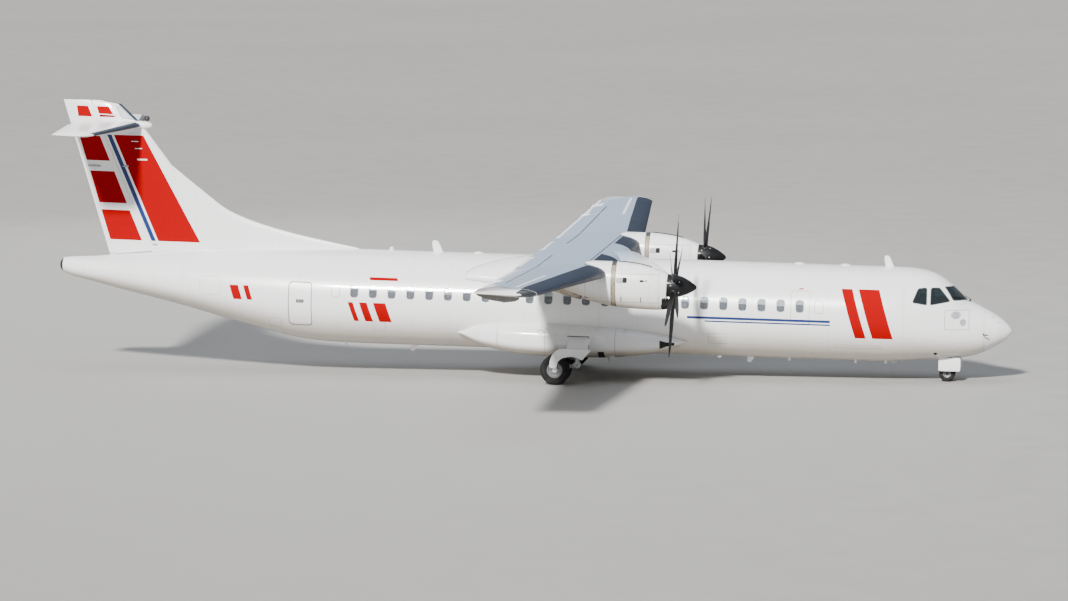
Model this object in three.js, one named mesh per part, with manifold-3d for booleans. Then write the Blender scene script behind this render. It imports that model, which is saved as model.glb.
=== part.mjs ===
// Twin-turboprop regional airliner with a high wing and a T-tail, parked on its wheels.
// Millimetres. +X to the nose, +Y to port, +Z up, z = 0 on the ground.
import * as THREE from 'three';
import { mergeVertices } from 'three/addons/utils/BufferGeometryUtils.js';
import Module from 'manifold-3d';

const wasm = await Module();
wasm.setup();

// Driving dimensions of the airframe, given level, with x = 0 at mid length.
const length = 27166;
const span = 27050;
const tailSpan = 7310;
const noseX = length / 2;
const noseDown = THREE.MathUtils.degToRad(1.15);
const stancePivotZ = 2000;
const fit = 0.4;
const sliver = 0.1;
const swingGap = 10;
const rudderGap = 20;

// Wheels, on the ground and not tilted with the airframe.
const mainWheelX = 1000;
const mainTrack = 4100;
const wheelbase = 10790;
const noseWheelX = mainWheelX + wheelbase;
const mainTyre = { radius: 420, rim: 215, width: 254, offset: 215, sides: 24, axle: 50 };
const noseTyre = { radius: 225, rim: 110, width: 180, offset: 165, sides: 20, axle: 25 };

// Propellers: the thrust line droops a little from the fuselage line.
const propellerY = 4050;
const propellerDiameter = 3930;
const spinnerBase = [4325, propellerY, 3106];
const thrustDroop = THREE.MathUtils.degToRad(2.5);
const bladeCount = 6;
const bladePlane = 190;

// Fuselage: station aft of the nose, crown, keel, half width, height of the widest point.
const hullTable = [
  [0, 1716, 1684, 16, 1700],
  [30, 1790, 1610, 95, 1700],
  [160, 1940, 1450, 245, 1695],
  [350, 2090, 1320, 400, 1700],
  [620, 2250, 1165, 560, 1705],
  [890, 2385, 1040, 700, 1715],
  [1220, 2550, 945, 860, 1735],
  [1630, 2910, 890, 1020, 1760],
  [1850, 3090, 870, 1090, 1780],
  [2120, 3240, 850, 1165, 1810],
  [2440, 3340, 825, 1240, 1850],
  [2930, 3395, 780, 1330, 1900],
  [3660, 3400, 735, 1405, 1945],
  [4400, 3400, 730, 1432.5, 1967.5],
  [18000, 3400, 730, 1432.5, 1967.5],
  [19180, 3400, 742, 1425, 1975],
  [20180, 3395, 830, 1400, 2005],
  [21180, 3375, 1055, 1345, 2065],
  [22180, 3330, 1290, 1250, 2165],
  [23180, 3260, 1550, 1110, 2290],
  [24180, 3170, 1780, 930, 2420],
  [25180, 3070, 1990, 710, 2530],
  [26150, 2955, 2220, 470, 2600],
  [27050, 2890, 2460, 225, 2672],
  [27166, 2800, 2560, 130, 2680],
].map(([station, ...rest]) => [noseX - station, ...rest]);
const hullSides = 32;
const roomSides = 16;
const hullWall = 110;
const cabWall = 80;

// Flat square jacking pads, level with the ground: x, y, underside.
const padHalf = 100;
const noseJack = [10300, 0, 490];
const mainJack = [2450, 1250, 590];

// Where the fuselage sections meet.
const radomeX = 12880;
const cockpitX = 10650;
const forwardX = 4700;
const centreX = -3200;
const rearX = -9900;
const tailX = -noseX;

// Nacelles: x, crown, keel, half width, height of the widest point.
const nacelleTable = [
  [4320, 3440, 2450, 330, 3106],
  [4180, 3500, 2432, 352, 3106],
  [3950, 3580, 2425, 395, 3110],
  [3400, 3690, 2440, 445, 3120],
  [2900, 3725, 2485, 465, 3130],
  [2250, 3725, 2600, 465, 3150],
  [1800, 3560, 2760, 455, 3160],
  [1300, 3500, 2960, 420, 3200],
  [700, 3480, 3130, 330, 3260],
  [150, 3400, 3240, 150, 3320],
];

// Wing: span, leading edge, trailing edge, height, thickness to chord, camber.
const wingTable = [
  [0, 2650, 80, 3410, 0.17, 0.018],
  [4600, 2650, 80, 3410, 0.17, 0.018],
  [13150, 1938, 310, 3774, 0.13, 0.018],
  [13420, 1860, 318, 3786, 0.11, 0.015],
  [span / 2, 1560, 360, 3792, 0.05, 0.01],
];
const wingBreakY = 4600;
const flapLine = [[0, 950], [4600, 950], [span / 2, 800]];
const flapInner = [1530, 3560];
const flapOuter = [4660, 9340];
const aileronSpan = [9400, 12900];

// Tailplane: half span, leading edge, trailing edge, height, thickness to chord, camber.
const tailplaneTable = [
  [0, -11240, -13310, 6750, 0.11, 0],
  [3500, -11895, -13050, 6705, 0.1, 0],
  [tailSpan / 2, -12080, -13040, 6703, 0.05, 0],
];
const elevatorLine = [[0, -12590], [tailSpan / 2, -12650]];
const elevatorSpan = [150, 3500];

// Fin with rudder: height, leading edge, trailing edge, offset, thickness to chord, camber.
const finTable = [
  [2900, -8220, -12105, 0, 0.085, 0],
  [5650, -10400, -12975, 0, 0.09, 0],
  [6830, -11320, -13350, 0, 0.1, 0],
  [7330, -11870, -13508, 0, 0.09, 0],
  [7415, -12450, -13530, 0, 0.04, 0],
];
const rudderLine = [[3090, -10930], [7415, -12772]];
const rudderSpan = [3060, 7450];

// Fillet ahead of the fin: x, top, half width at its base.
const filletTable = [
  [-4950, 3425, 20],
  [-5640, 3550, 60],
  [-7180, 3870, 95],
  [-8620, 4340, 120],
  [-9520, 4960, 110],
  [-10420, 5650, 70],
  [-10700, 5860, 30],
];
const filletBaseZ = 3150;

// Fairing at the wing root: x, crown, keel, half width, height of the widest point.
// Under the wing it lies inside the wing's skin, and both its ends run out in a lobe a side.
const wingFairingTable = [
  [4150, 3200, 2600, 1080, 2850],
  [3910, 3287, 2450, 1190, 2750],
  [3650, 3348, 2450, 1220, 2750],
  [3250, 3405, 2500, 1340, 2800],
  [2900, 3545, 2600, 1430, 2940],
  [2650, 3600, 2630, 1470, 3000],
  [2350, 3618, 2660, 1490, 3050],
  [2100, 3600, 2660, 1490, 3050],
  [1000, 3550, 2660, 1490, 3050],
  [500, 3480, 2620, 1480, 2980],
  [100, 3400, 2540, 1440, 2860],
  [-270, 3383, 2500, 1350, 2780],
  [-880, 3334, 2345, 1270, 2750],
  [-1420, 3235, 2384, 1220, 2800],
  [-1700, 3104, 2555, 1195, 2800],
  [-1800, 3000, 2600, 1100, 2850],
];

// Belly fairing with the wheel bays: x, half width, top, bottom.
const bellyTable = [
  [4600, 1190, 1250, 1190],
  [4250, 1350, 1420, 980],
  [3700, 1500, 1540, 820],
  [2900, 1650, 1640, 690],
  [2000, 1730, 1700, 625],
  [1000, 1750, 1720, 615],
  [0, 1740, 1720, 650],
  [-700, 1660, 1690, 740],
  [-1300, 1500, 1620, 880],
  [-1900, 1190, 1290, 1230],
];

// Doors in the fuselage wall: x range, sill, top, thickness is the wall's.
const passengerDoor = { x: [-6850, -6030], z: [1300, 3050], lean: 0.4, side: 1 };
const cargoDoor = { x: [8600, 10130], z: [1340, 2615], lean: -0.2, side: 1 };
const serviceDoor = { x: [-6690, -6060], z: [1330, 2530], lean: 0, side: -1 };
const doorGap = 10;
const hingeProud = 12;
const vestibule = { x: [-7700, -4400], floor: 1290 };
const aftBay = { x: [-9901, -7850], floor: 1650 };
const cargoBay = { x: [8450, 10300], floor: 1330 };
const cab = { x: [cockpitX - 1, 12260], floor: 1250 };

// Cockpit windows, each outline as seen from its own side.
const windscreenOutline = [[60, 2575], [705, 2576], [535, 2935], [60, 2915]];
const sideWindowOutlines = {
  front: [[11350, 2920], [11580, 2917], [11886, 2562], [11354, 2467]],
  rear: [[11000, 2904], [11235, 2922], [11253, 2467], [10857, 2535]],
};
const paneThickness = 25;
const paneFit = 0.992;

// Nose wheel bay, in the airframe.
const noseBay = { x: [11480, 12240], half: 365, top: 1180 };
const mainBay = { x: [1060, 1790], y: [1200, 2200], z: [300, 1120] };

// Finishes: colour, roughness, metalness.
const finishes = {
  white: [0xf1f3f5, 0.35, 0.0],
  belly: [0xd9dadb, 0.45, 0.0],
  glass: [0x2c3a42, 0.1, 0.0],
  trimGrey: [0x6b7078, 0.6, 0.0],
  black: [0x17191d, 0.45, 0.0],
  rubber: [0x1c1c1e, 0.85, 0.0],
  alloy: [0xb4b7bb, 0.4, 0.8],
  gearPaint: [0xdfe2e4, 0.45, 0.1],
  bareSteel: [0x8d8074, 0.45, 0.9],
  engine: [0x77797c, 0.5, 0.8],
};

// Solids and geometry

function toSolid(geometry) {
  const bare = geometry.clone();
  bare.deleteAttribute('normal');
  bare.deleteAttribute('uv');
  const merged = mergeVertices(bare, 0.01);
  const mesh = new wasm.Mesh({
    numProp: 3,
    vertProperties: Float32Array.from(merged.getAttribute('position').array),
    triVerts: Uint32Array.from(merged.getIndex().array),
  });
  return new wasm.Manifold(mesh);
}

function toGeometry(solid) {
  const mesh = solid.asOriginal().simplify(sliver).getMesh();
  const geometry = new THREE.BufferGeometry();
  geometry.setAttribute('position', new THREE.BufferAttribute(mesh.vertProperties, 3));
  geometry.setIndex(new THREE.BufferAttribute(mesh.triVerts, 1));
  geometry.computeVertexNormals();
  return geometry;
}

// A closed solid through rings of equally many points, ends closed by fans.
function loft(rings) {
  const count = rings[0].length;
  const points = rings.flat();
  const faces = [];
  for (let i = 0; i + 1 < rings.length; i += 1) {
    for (let j = 0; j < count; j += 1) {
      const a = i * count + j;
      const b = i * count + ((j + 1) % count);
      faces.push(a, b, b + count, a, b + count, a + count);
    }
  }
  const ends = [[rings[0], 0], [rings[rings.length - 1], (rings.length - 1) * count]];
  ends.forEach(([ring, start], end) => {
    const middle = [0, 1, 2].map((k) => ring.reduce((sum, p) => sum + p[k], 0) / count);
    const centre = points.length;
    points.push(middle);
    for (let j = 0; j < count; j += 1) {
      const a = start + j;
      const b = start + ((j + 1) % count);
      faces.push(...(end === 0 ? [centre, b, a] : [centre, a, b]));
    }
  });
  return facedOut(points, faces);
}

// Turns the faces round when they point inwards, and makes the solid.
function facedOut(points, faces) {
  let volume = 0;
  for (let i = 0; i < faces.length; i += 3) {
    const [a, b, c] = [0, 1, 2].map((k) => new THREE.Vector3(...points[faces[i + k]]));
    volume += a.dot(b.cross(c));
  }
  const ordered = volume > 0 ? faces : faces.slice().reverse();
  const geometry = new THREE.BufferGeometry();
  geometry.setAttribute('position', new THREE.Float32BufferAttribute(points.flat(), 3));
  geometry.setIndex(ordered);
  return toSolid(geometry);
}

function box(x, y, z) {
  const geometry = new THREE.BoxGeometry(x[1] - x[0], y[1] - y[0], z[1] - z[0]);
  geometry.translate((x[0] + x[1]) / 2, (y[0] + y[1]) / 2, (z[0] + z[1]) / 2);
  return toSolid(geometry);
}

// A round bar between two points, tapered when the radii differ.
function bar(from, to, radiusFrom, radiusTo = radiusFrom, sides = 10) {
  const start = new THREE.Vector3(...from);
  const along = new THREE.Vector3(...to).sub(start);
  const geometry = new THREE.CylinderGeometry(radiusTo, radiusFrom, along.length(), sides);
  geometry.translate(0, along.length() / 2, 0);
  const turn = new THREE.Quaternion().setFromUnitVectors(
    new THREE.Vector3(0, 1, 0),
    along.clone().normalize(),
  );
  geometry.applyQuaternion(turn);
  geometry.translate(...from);
  return toSolid(geometry);
}

// An outline given as [a, b] pairs, made solid from one depth to another.
function prism(outline, from, to, place) {
  return loft([from, to].map((depth) => outline.map(([a, b]) => place(a, b, depth))));
}

const sideways = (x, z, y) => [x, y, z];
const lengthways = (y, z, x) => [x, y, z];

function union(solids) {
  return solids.reduce((whole, solid) => whole.add(solid));
}

// The largest body, when a cut has left slivers beside it.
function mainBody(solid) {
  const pieces = solid.decompose();
  return pieces.reduce((best, piece) => (piece.volume() > best.volume() ? piece : best));
}

// Linear interpolation in a table whose first column rises or falls steadily.
function rowAt(table, key) {
  const rising = table[table.length - 1][0] > table[0][0];
  const rows = rising ? table : table.slice().reverse();
  if (key <= rows[0][0]) {
    return rows[0];
  }
  for (let i = 0; i + 1 < rows.length; i += 1) {
    const [low, high] = [rows[i], rows[i + 1]];
    if (key <= high[0]) {
      const share = (key - low[0]) / (high[0] - low[0]);
      return low.map((value, k) => value + share * (high[k] - value));
    }
  }
  return rows[rows.length - 1];
}

// Rounded bodies: fuselage, nacelles, fairing over the wing

function ovalRing([x, crown, keel, half, wide], y, grow, sides) {
  return Array.from({ length: sides }, (_, k) => {
    const angle = (2 * Math.PI * k) / sides;
    const rise = Math.sin(angle) >= 0 ? crown - wide + grow : wide - keel + grow;
    return [x, y + Math.cos(angle) * (half + grow), wide + Math.sin(angle) * rise];
  });
}

function ovalLoft(table, fromX, toX, { y = 0, grow = 0, sides = hullSides } = {}) {
  const inner = table.map((row) => row[0]).filter((x) => x > fromX + 1 && x < toX - 1);
  const stations = [fromX, ...inner.sort((a, b) => a - b), toX];
  return loft(stations.map((x) => ovalRing([x, ...rowAt(table, x).slice(1)], y, grow, sides)));
}

const hull = (fromX, toX, grow = 0, around = hullSides) =>
  ovalLoft(hullTable, fromX, toX, { grow, sides: around });
const wholeHull = hull(tailX, noseX, fit);

// Lifting surfaces: wing, tailplane, fin

const foilSteps = 9;
const trailingThickness = 8;

function foilHalfThickness(part, chord, ratio) {
  const shape = 0.2969 * Math.sqrt(part) - 0.126 * part - 0.3516 * part ** 2
    + 0.2843 * part ** 3 - 0.1036 * part ** 4;
  return 5 * ratio * chord * shape + (trailingThickness / 2) * part;
}

function foilRing([at, lead, trail, lift, ratio, camber], place, grow) {
  const chord = lead - trail;
  const side = (sign, step) => {
    const part = (1 - Math.cos((Math.PI * step) / foilSteps)) / 2;
    const half = foilHalfThickness(part, chord, ratio) + grow;
    const mean = 4 * camber * chord * part * (1 - part);
    return place(lead + grow - part * (chord + 2 * grow), lift + mean + sign * half, at);
  };
  const steps = Array.from({ length: foilSteps }, (_, k) => k + 1);
  return [
    place(lead + grow, lift, at),
    ...steps.map((step) => side(1, step)),
    ...steps.reverse().map((step) => side(-1, step)),
  ];
}

function foilLoft(table, from, to, place, grow = 0) {
  const inner = table.map((row) => row[0]).filter((at) => at > from + 1 && at < to - 1);
  const stations = [from, ...inner, to];
  return loft(stations.map((at) => foilRing([at, ...rowAt(table, at).slice(1)], place, grow)));
}

const portWing = (x, height, at) => [x, at, height];
const starboardWing = (x, height, at) => [x, -at, height];
const upright = (x, height, at) => [x, height, at];

// The hinge of a control surface at one place along the span, with the foil's half thickness.
function hingeAt(table, line, at) {
  const [, lead, trail, lift, ratio, camber] = rowAt(table, at);
  const x = rowAt(line, at)[1];
  const part = (lead - x) / (lead - trail);
  return {
    at,
    x,
    trail,
    height: lift + 4 * camber * (lead - trail) * part * (1 - part),
    radius: foilHalfThickness(part, lead - trail, ratio),
  };
}

// Everything aft of a hinge line with a round nose about it: the surface, or its cut-out.
function hingeZone(table, line, [from, to], place, gap) {
  const barrelSides = 14;
  const deep = 600;
  const between = table.map((row) => row[0]).filter((at) => at > from + gap && at < to - gap);
  const stations = [from - gap, ...between, to + gap].map((at) => hingeAt(table, line, at));
  const ends = [stations[0], stations[stations.length - 1]];
  const round = gap > 0 ? 1 / Math.cos(Math.PI / barrelSides) : 1;
  const barrel = stations.map(({ at, x, height, radius }) =>
    Array.from({ length: barrelSides }, (_, k) => {
      const angle = (2 * Math.PI * k) / barrelSides;
      const reach = (radius + gap) * round;
      return place(x + reach * Math.cos(angle), height + reach * Math.sin(angle), at);
    }));
  const aft = ends.map(({ at, x, height, trail }) => [
    place(x, height - deep, at),
    place(x, height + deep, at),
    place(trail - deep, height + deep, at),
    place(trail - deep, height - deep, at),
  ]);
  return loft(barrel).add(loft(aft));
}

function hingeLine(table, line, [from, to], place) {
  const [a, b] = [hingeAt(table, line, from), hingeAt(table, line, to)];
  return { point: place(a.x, a.height, a.at), other: place(b.x, b.height, b.at) };
}

// Scene graph

const airliner = new THREE.Group();
const parked = new THREE.Group();
const airframe = new THREE.Group();
airliner.add(parked);
parked.add(airframe);
airframe.rotation.y = noseDown;
airframe.position.set(
  -stancePivotZ * Math.sin(noseDown),
  0,
  stancePivotZ * (1 - Math.cos(noseDown)),
);
airframe.updateMatrix();

function addPiece(parent, name, solid, finish) {
  const [color, roughness, metalness] = finishes[finish];
  const mesh = new THREE.Mesh(
    toGeometry(solid),
    new THREE.MeshStandardMaterial({ color, roughness, metalness }),
  );
  mesh.name = name;
  parent.add(mesh);
  return mesh;
}

// A group whose own Y axis is a hinge; its pieces are given in the parent's axes.
function addPivot(parent, point, other) {
  const pivot = new THREE.Group();
  pivot.position.set(...point);
  const axis = new THREE.Vector3(...other).sub(pivot.position).normalize();
  pivot.quaternion.setFromUnitVectors(new THREE.Vector3(0, 1, 0), axis);
  pivot.updateMatrix();
  parent.add(pivot);
  return pivot;
}

function addHinged(parent, name, solid, finish, { point, other }) {
  const pivot = addPivot(parent, point, other);
  const mesh = addPiece(pivot, name, solid, finish);
  mesh.geometry.applyMatrix4(pivot.matrix.clone().invert());
  return mesh;
}

// A solid given in the ground's axes, brought into the tilted airframe's axes.
function intoAirframe(solid) {
  return solid.transform(airframe.matrix.clone().invert().elements);
}

const sides = [['left', 1], ['right', -1]];

// Doors

function doorPrism({ x, z, lean, side }, gap) {
  const [inner, outer] = [500, 1700];
  const edge = 1100;
  const sill = lean < 0 ? -lean : 0;
  const head = lean > 0 ? lean : 0;
  const outline = [
    [inner, z[0] - gap + sill * (edge - inner)],
    [outer, z[0] - gap + sill * (edge - outer)],
    [outer, z[1] + gap + head * (outer - edge)],
    [inner, z[1] + gap + head * (inner - edge)],
  ];
  return prism(outline, x[0] - gap, x[1] + gap, (y, height, at) => [at, side * y, height]);
}

function hullSkinY(x, z) {
  const [, crown, keel, half, wide] = rowAt(hullTable, x);
  const rise = z > wide ? crown - wide : wide - keel;
  return half * Math.sqrt(1 - ((z - wide) / rise) ** 2);
}

function doorSolid(door) {
  const wall = hull(door.x[0] - 50, door.x[1] + 50).subtract(
    hull(door.x[0] - 60, door.x[1] + 60, -hullWall),
  );
  return wall.intersect(doorPrism(door, 0));
}

// A hinge along the fuselage, just outside the skin, in the gap at a door's sill or head.
function doorHinge(door, z) {
  const [back, front] = door.x;
  const y = Math.max(hullSkinY(back, z), hullSkinY(front, z)) + hingeProud;
  return { point: [back, door.side * y, z], other: [front, door.side * y, z] };
}

// A room inside the fuselage with a flat floor, straight from end to end.
function room({ x, floor }, wall) {
  const rings = x.map((at) => ovalRing([at, ...rowAt(hullTable, at).slice(1)], 0, -wall, roomSides));
  return loft(rings).intersect(box(x, [-2000, 2000], [floor, 4000]));
}

// Cockpit windows

function shrink(outline, factor) {
  const middle = [0, 1].map((k) => outline.reduce((sum, p) => sum + p[k], 0) / outline.length);
  return outline.map((p) => p.map((value, k) => middle[k] + factor * (value - middle[k])));
}

function windowPrisms(factor) {
  const result = {};
  sides.forEach(([name, side]) => {
    const screen = shrink(windscreenOutline, factor);
    result[`windscreen_${name}`] = prism(screen, 11500, 12700, (y, z, x) => [x, side * y, z]);
    Object.entries(sideWindowOutlines).forEach(([place, outline]) => {
      const pane = shrink(outline, factor);
      result[`side_window_${place}_${name}`] = prism(pane, side * 450, side * 1450, sideways);
    });
  });
  return result;
}

function addCockpit() {
  const outer = hull(cockpitX + fit, radomeX);
  const openings = windowPrisms(1);
  const bay = box(noseBay.x, [-noseBay.half, noseBay.half], [0, noseBay.top]);
  const inside = hull(cab.x[0], cab.x[1], -cabWall, roomSides)
    .intersect(box(cab.x, [-2000, 2000], [cab.floor, 4000]));
  const shell = outer.subtract(inside).subtract(bay).subtract(
    union(Object.values(openings)),
  );
  addPiece(airframe, 'cockpit_section', mainBody(shell), 'white');
  const skin = outer.subtract(hull(cockpitX - 10, radomeX + 10, -paneThickness));
  Object.entries(windowPrisms(paneFit)).forEach(([name, pane]) => {
    addPiece(airframe, name, mainBody(skin.intersect(pane)), 'glass');
  });
}

function addFlightDeck() {
  const floor = box([10720, 12240], [-780, 780], [cab.floor + fit, cab.floor + 40]);
  const panel = box([12060, 12230], [-620, 620], [cab.floor + 20, 2330]);
  const glareshield = box([11960, 12230], [-600, 600], [2330 - fit, 2390]);
  const pedestal = box([11450, 12100], [-140, 140], [cab.floor + 20, 1900]);
  const seats = [1, -1].flatMap((side) => {
    const y = [side * 480 - 230, side * 480 + 230];
    return [
      box([11000, 11440], y, [cab.floor + 350, cab.floor + 480]),
      box([11120, 11320], [y[0] + 120, y[1] - 120], [cab.floor + 20, cab.floor + 360]),
      box([10890, 11030], y, [cab.floor + 400, cab.floor + 1120]),
      box([10900, 11010], [y[0] + 100, y[1] - 100], [cab.floor + 1100, cab.floor + 1290]),
    ];
  });
  const deck = union([floor, panel, glareshield, pedestal, ...seats]);
  const clear = hull(10660, 12250, -cabWall - 6, roomSides);
  addPiece(airframe, 'flight_deck', deck.intersect(clear), 'trimGrey');
}

// Fuselage behind the cockpit

function jackPad([x, y, z]) {
  const depth = 200;
  return intoAirframe(box([x - padHalf, x + padHalf], [y - padHalf, y + padHalf], [z, z + depth]));
}

function addFuselage(wingSolid) {
  addPiece(airframe, 'radome', hull(radomeX + fit, noseX), 'white');

  const forward = hull(forwardX + fit, cockpitX)
    .add(jackPad(noseJack))
    .subtract(room(cargoBay, hullWall))
    .subtract(doorPrism(cargoDoor, doorGap));
  addPiece(airframe, 'forward_fuselage', forward, 'white');

  const centre = hull(centreX + fit, forwardX).subtract(wingSolid);
  addPiece(airframe, 'centre_fuselage', mainBody(centre), 'white');

  const rear = hull(rearX + fit, centreX)
    .subtract(room(vestibule, hullWall))
    .subtract(room(aftBay, hullWall))
    .subtract(doorPrism(passengerDoor, doorGap))
    .subtract(doorPrism(serviceDoor, fit));
  addPiece(airframe, 'rear_fuselage', rear, 'white');

  const tailWall = 60;
  const tail = hull(tailX, rearX).subtract(hull(-13000, rearX + 10, -tailWall, roomSides));
  addPiece(airframe, 'tail_cone', tail, 'white');

  addPiece(airframe, 'service_door', doorSolid(serviceDoor), 'white');
  addHinged(airframe, 'passenger_door', doorSolid(passengerDoor), 'white',
    doorHinge(passengerDoor, passengerDoor.z[0] - doorGap / 2));
  addHinged(airframe, 'cargo_door', doorSolid(cargoDoor), 'white',
    doorHinge(cargoDoor, cargoDoor.z[1] + doorGap / 2));
}

// Wing with flaps and ailerons

function addWing() {
  const surfaces = [];
  const cutFrom = (solid, zone, place) =>
    solid.subtract(hingeZone(wingTable, flapLine, zone, place, swingGap));

  let middle = foilLoft(wingTable, 0, wingBreakY, portWing)
    .add(foilLoft(wingTable, 0, wingBreakY, starboardWing));
  const whole = foilLoft(wingTable, 0, wingBreakY, portWing, fit)
    .add(foilLoft(wingTable, 0, wingBreakY, starboardWing, fit));
  sides.forEach(([name, side]) => {
    const place = side > 0 ? portWing : starboardWing;
    middle = cutFrom(middle, flapInner, place);
    let outer = foilLoft(wingTable, wingBreakY + fit, span / 2, place);
    const outerWhole = outer;
    [flapOuter, aileronSpan].forEach((zone) => {
      outer = cutFrom(outer, zone, place);
    });
    addPiece(airframe, `wing_${name}`, mainBody(outer), 'white');
    const centre = foilLoft(wingTable, 0, wingBreakY, place);
    surfaces.push(
      [`flap_inboard_${name}`, centre, flapInner, place],
      [`flap_outboard_${name}`, outerWhole, flapOuter, place],
      [`aileron_${name}`, outerWhole, aileronSpan, place],
    );
  });
  addPiece(airframe, 'wing_centre', mainBody(middle), 'white');
  surfaces.forEach(([name, source, zone, place]) => {
    const solid = source.intersect(hingeZone(wingTable, flapLine, zone, place, 0));
    addHinged(airframe, name, solid, 'white', hingeLine(wingTable, flapLine, zone, place));
  });
  return whole;
}

function addWingFairing(wingSolid) {
  const [first, last] = [wingFairingTable[wingFairingTable.length - 1][0], wingFairingTable[0][0]];
  const fairing = ovalLoft(wingFairingTable, first, last, { sides: 20 })
    .subtract(wholeHull)
    .subtract(wingSolid);
  addPiece(airframe, 'wing_fairing', mainBody(fairing), 'white');
}

// Belly fairing with a bulge for the wheels on each side

function bellyRing([x, half, top, bottom]) {
  const count = 20;
  const power = 2 / 3;
  const soft = (value) => Math.sign(value) * Math.abs(value) ** power;
  return Array.from({ length: count }, (_, k) => {
    const angle = (2 * Math.PI * k) / count;
    const z = (top + bottom) / 2 + ((top - bottom) / 2) * soft(Math.sin(angle));
    return [x, half * soft(Math.cos(angle)), z];
  });
}

function mainBaySolid(side) {
  const y = mainBay.y.map((value) => side * value).sort((a, b) => a - b);
  return intoAirframe(box(mainBay.x, y, mainBay.z));
}

function addBellyFairing() {
  const fairing = loft(bellyTable.map(bellyRing))
    .add(jackPad(mainJack))
    .add(jackPad([mainJack[0], -mainJack[1], mainJack[2]]))
    .subtract(wholeHull)
    .subtract(mainBaySolid(1))
    .subtract(mainBaySolid(-1));
  addPiece(airframe, 'belly_fairing', mainBody(fairing), 'belly');
}

// Nacelles, engines and exhausts

const engineBlock = { x: [2060, 4170], half: 290, z: [2720, 3230] };

function addNacelles(wingSolid, outerWings) {
  sides.forEach(([name, side]) => {
    const y = side * propellerY;
    const droop = Math.tan(thrustDroop);
    const rings = nacelleTable.map((row, index) =>
      ovalRing(row, y, 0, 20).map(([x, py, z]) =>
        [index === 0 ? x + (z - spinnerBase[2]) * droop : x, py, z]));
    const { x, half, z } = engineBlock;
    const cavity = box([x[0] - fit, x[1] + fit], [y - half - fit, y + half + fit],
      [z[0] - fit, z[1] + fit]);
    const shaftHole = bar([x[1] - 5, y, spinnerBase[2]], [4500, y, spinnerBase[2]], 125, 125, 12);
    const intakeRows = [[4500, 2735, 2475, 215, 2600], [4200, 2725, 2475, 210, 2600],
      [3900, 2660, 2490, 150, 2570]];
    const intake = loft(intakeRows.map((row) => ovalRing(row, y, 0, 14)));
    const pipe = exhaustSolid(side, 30);
    const nacelle = loft(rings)
      .subtract(wingSolid)
      .subtract(outerWings)
      .subtract(cavity)
      .subtract(shaftHole)
      .subtract(intake)
      .subtract(pipe);
    addPiece(airframe, `nacelle_${name}`, mainBody(nacelle), 'white');
    const block = box(x, [y - half, y + half], z);
    addPiece(airframe, `engine_${name}`, block, 'engine');
    const mouth = bar([1650, y + side * 60, 2905], [1200, y + side * 60, 3000], 158, 138, 14);
    const exhaust = exhaustSolid(side, 0).subtract(mouth);
    addPiece(airframe, `exhaust_${name}`, exhaust, 'bareSteel');
  });
}

function exhaustSolid(side, grow) {
  const y = side * (propellerY + 60);
  return bar([1980 + grow, y, 2835], [1250 - grow, y, 2990], 195 + grow, 160 + grow, 14);
}

// Propellers, in axes with +X along the thrust line and x = 0 at the spinner's base

const spinnerProfile = [
  [0, 0], [312, 0], [316, 150], [292, 320], [222, 510], [112, 700], [0, 805],
];
// Blade: radius, chord, thickness to chord, pitch in degrees, sweep back.
const bladeTable = [
  [330, 120, 0.5, 42, 0],
  [600, 205, 0.16, 29, 0],
  [1200, 255, 0.08, 17, 5],
  [1720, 205, 0.055, 11, 35],
  [propellerDiameter / 2, 60, 0.05, 8, 90],
];
const hubRadius = 150;
const hubHalfLength = 80;
const shankRadius = 46;

function bladeRing([radius, chord, ratio, pitchDegrees, sweep]) {
  const pitch = THREE.MathUtils.degToRad(pitchDegrees);
  const steps = 4;
  const ring = [];
  for (let k = 0; k < 2 * steps; k += 1) {
    const part = (1 + Math.cos((Math.PI * k) / steps)) / 2;
    const sign = k <= steps ? 1 : -1;
    const half = sign * (5 * ratio * chord * (0.2969 * Math.sqrt(part) - 0.126 * part
      - 0.3516 * part ** 2 + 0.2843 * part ** 3 - 0.1036 * part ** 4) + 1.5 * part);
    const along = (0.4 - part) * chord - sweep;
    ring.push([
      bladePlane + along * Math.sin(pitch) + half * Math.cos(pitch),
      -along * Math.cos(pitch) + half * Math.sin(pitch),
      radius,
    ]);
  }
  return ring;
}

function latheSolid(profile, segments) {
  const points = profile.map(([r, along]) => new THREE.Vector2(r, along));
  return toSolid(new THREE.LatheGeometry(points, segments));
}

function alongX(solid) {
  return solid.rotate([0, 0, -90]);
}

function propellerSolid(grow) {
  const hub = bar([bladePlane - hubHalfLength - grow, 0, 0], [bladePlane + hubHalfLength + grow, 0, 0],
    hubRadius + grow, hubRadius + grow, 14);
  const shaft = bar([-110 - grow, 0, 0], [bladePlane, 0, 0], 90 + grow, 90 + grow, 12);
  const parts = [hub, shaft];
  for (let k = 0; k < bladeCount; k += 1) {
    const angle = (360 * k) / bladeCount;
    const shank = bar([bladePlane, 0, 60], [bladePlane, 0, 350], shankRadius + grow,
      shankRadius + grow, 8);
    parts.push(shank.rotate([angle, 0, 0]));
    if (grow === 0) {
      parts.push(loft(bladeTable.map(bladeRing)).rotate([angle, 0, 0]));
    }
  }
  return union(parts);
}

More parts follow.
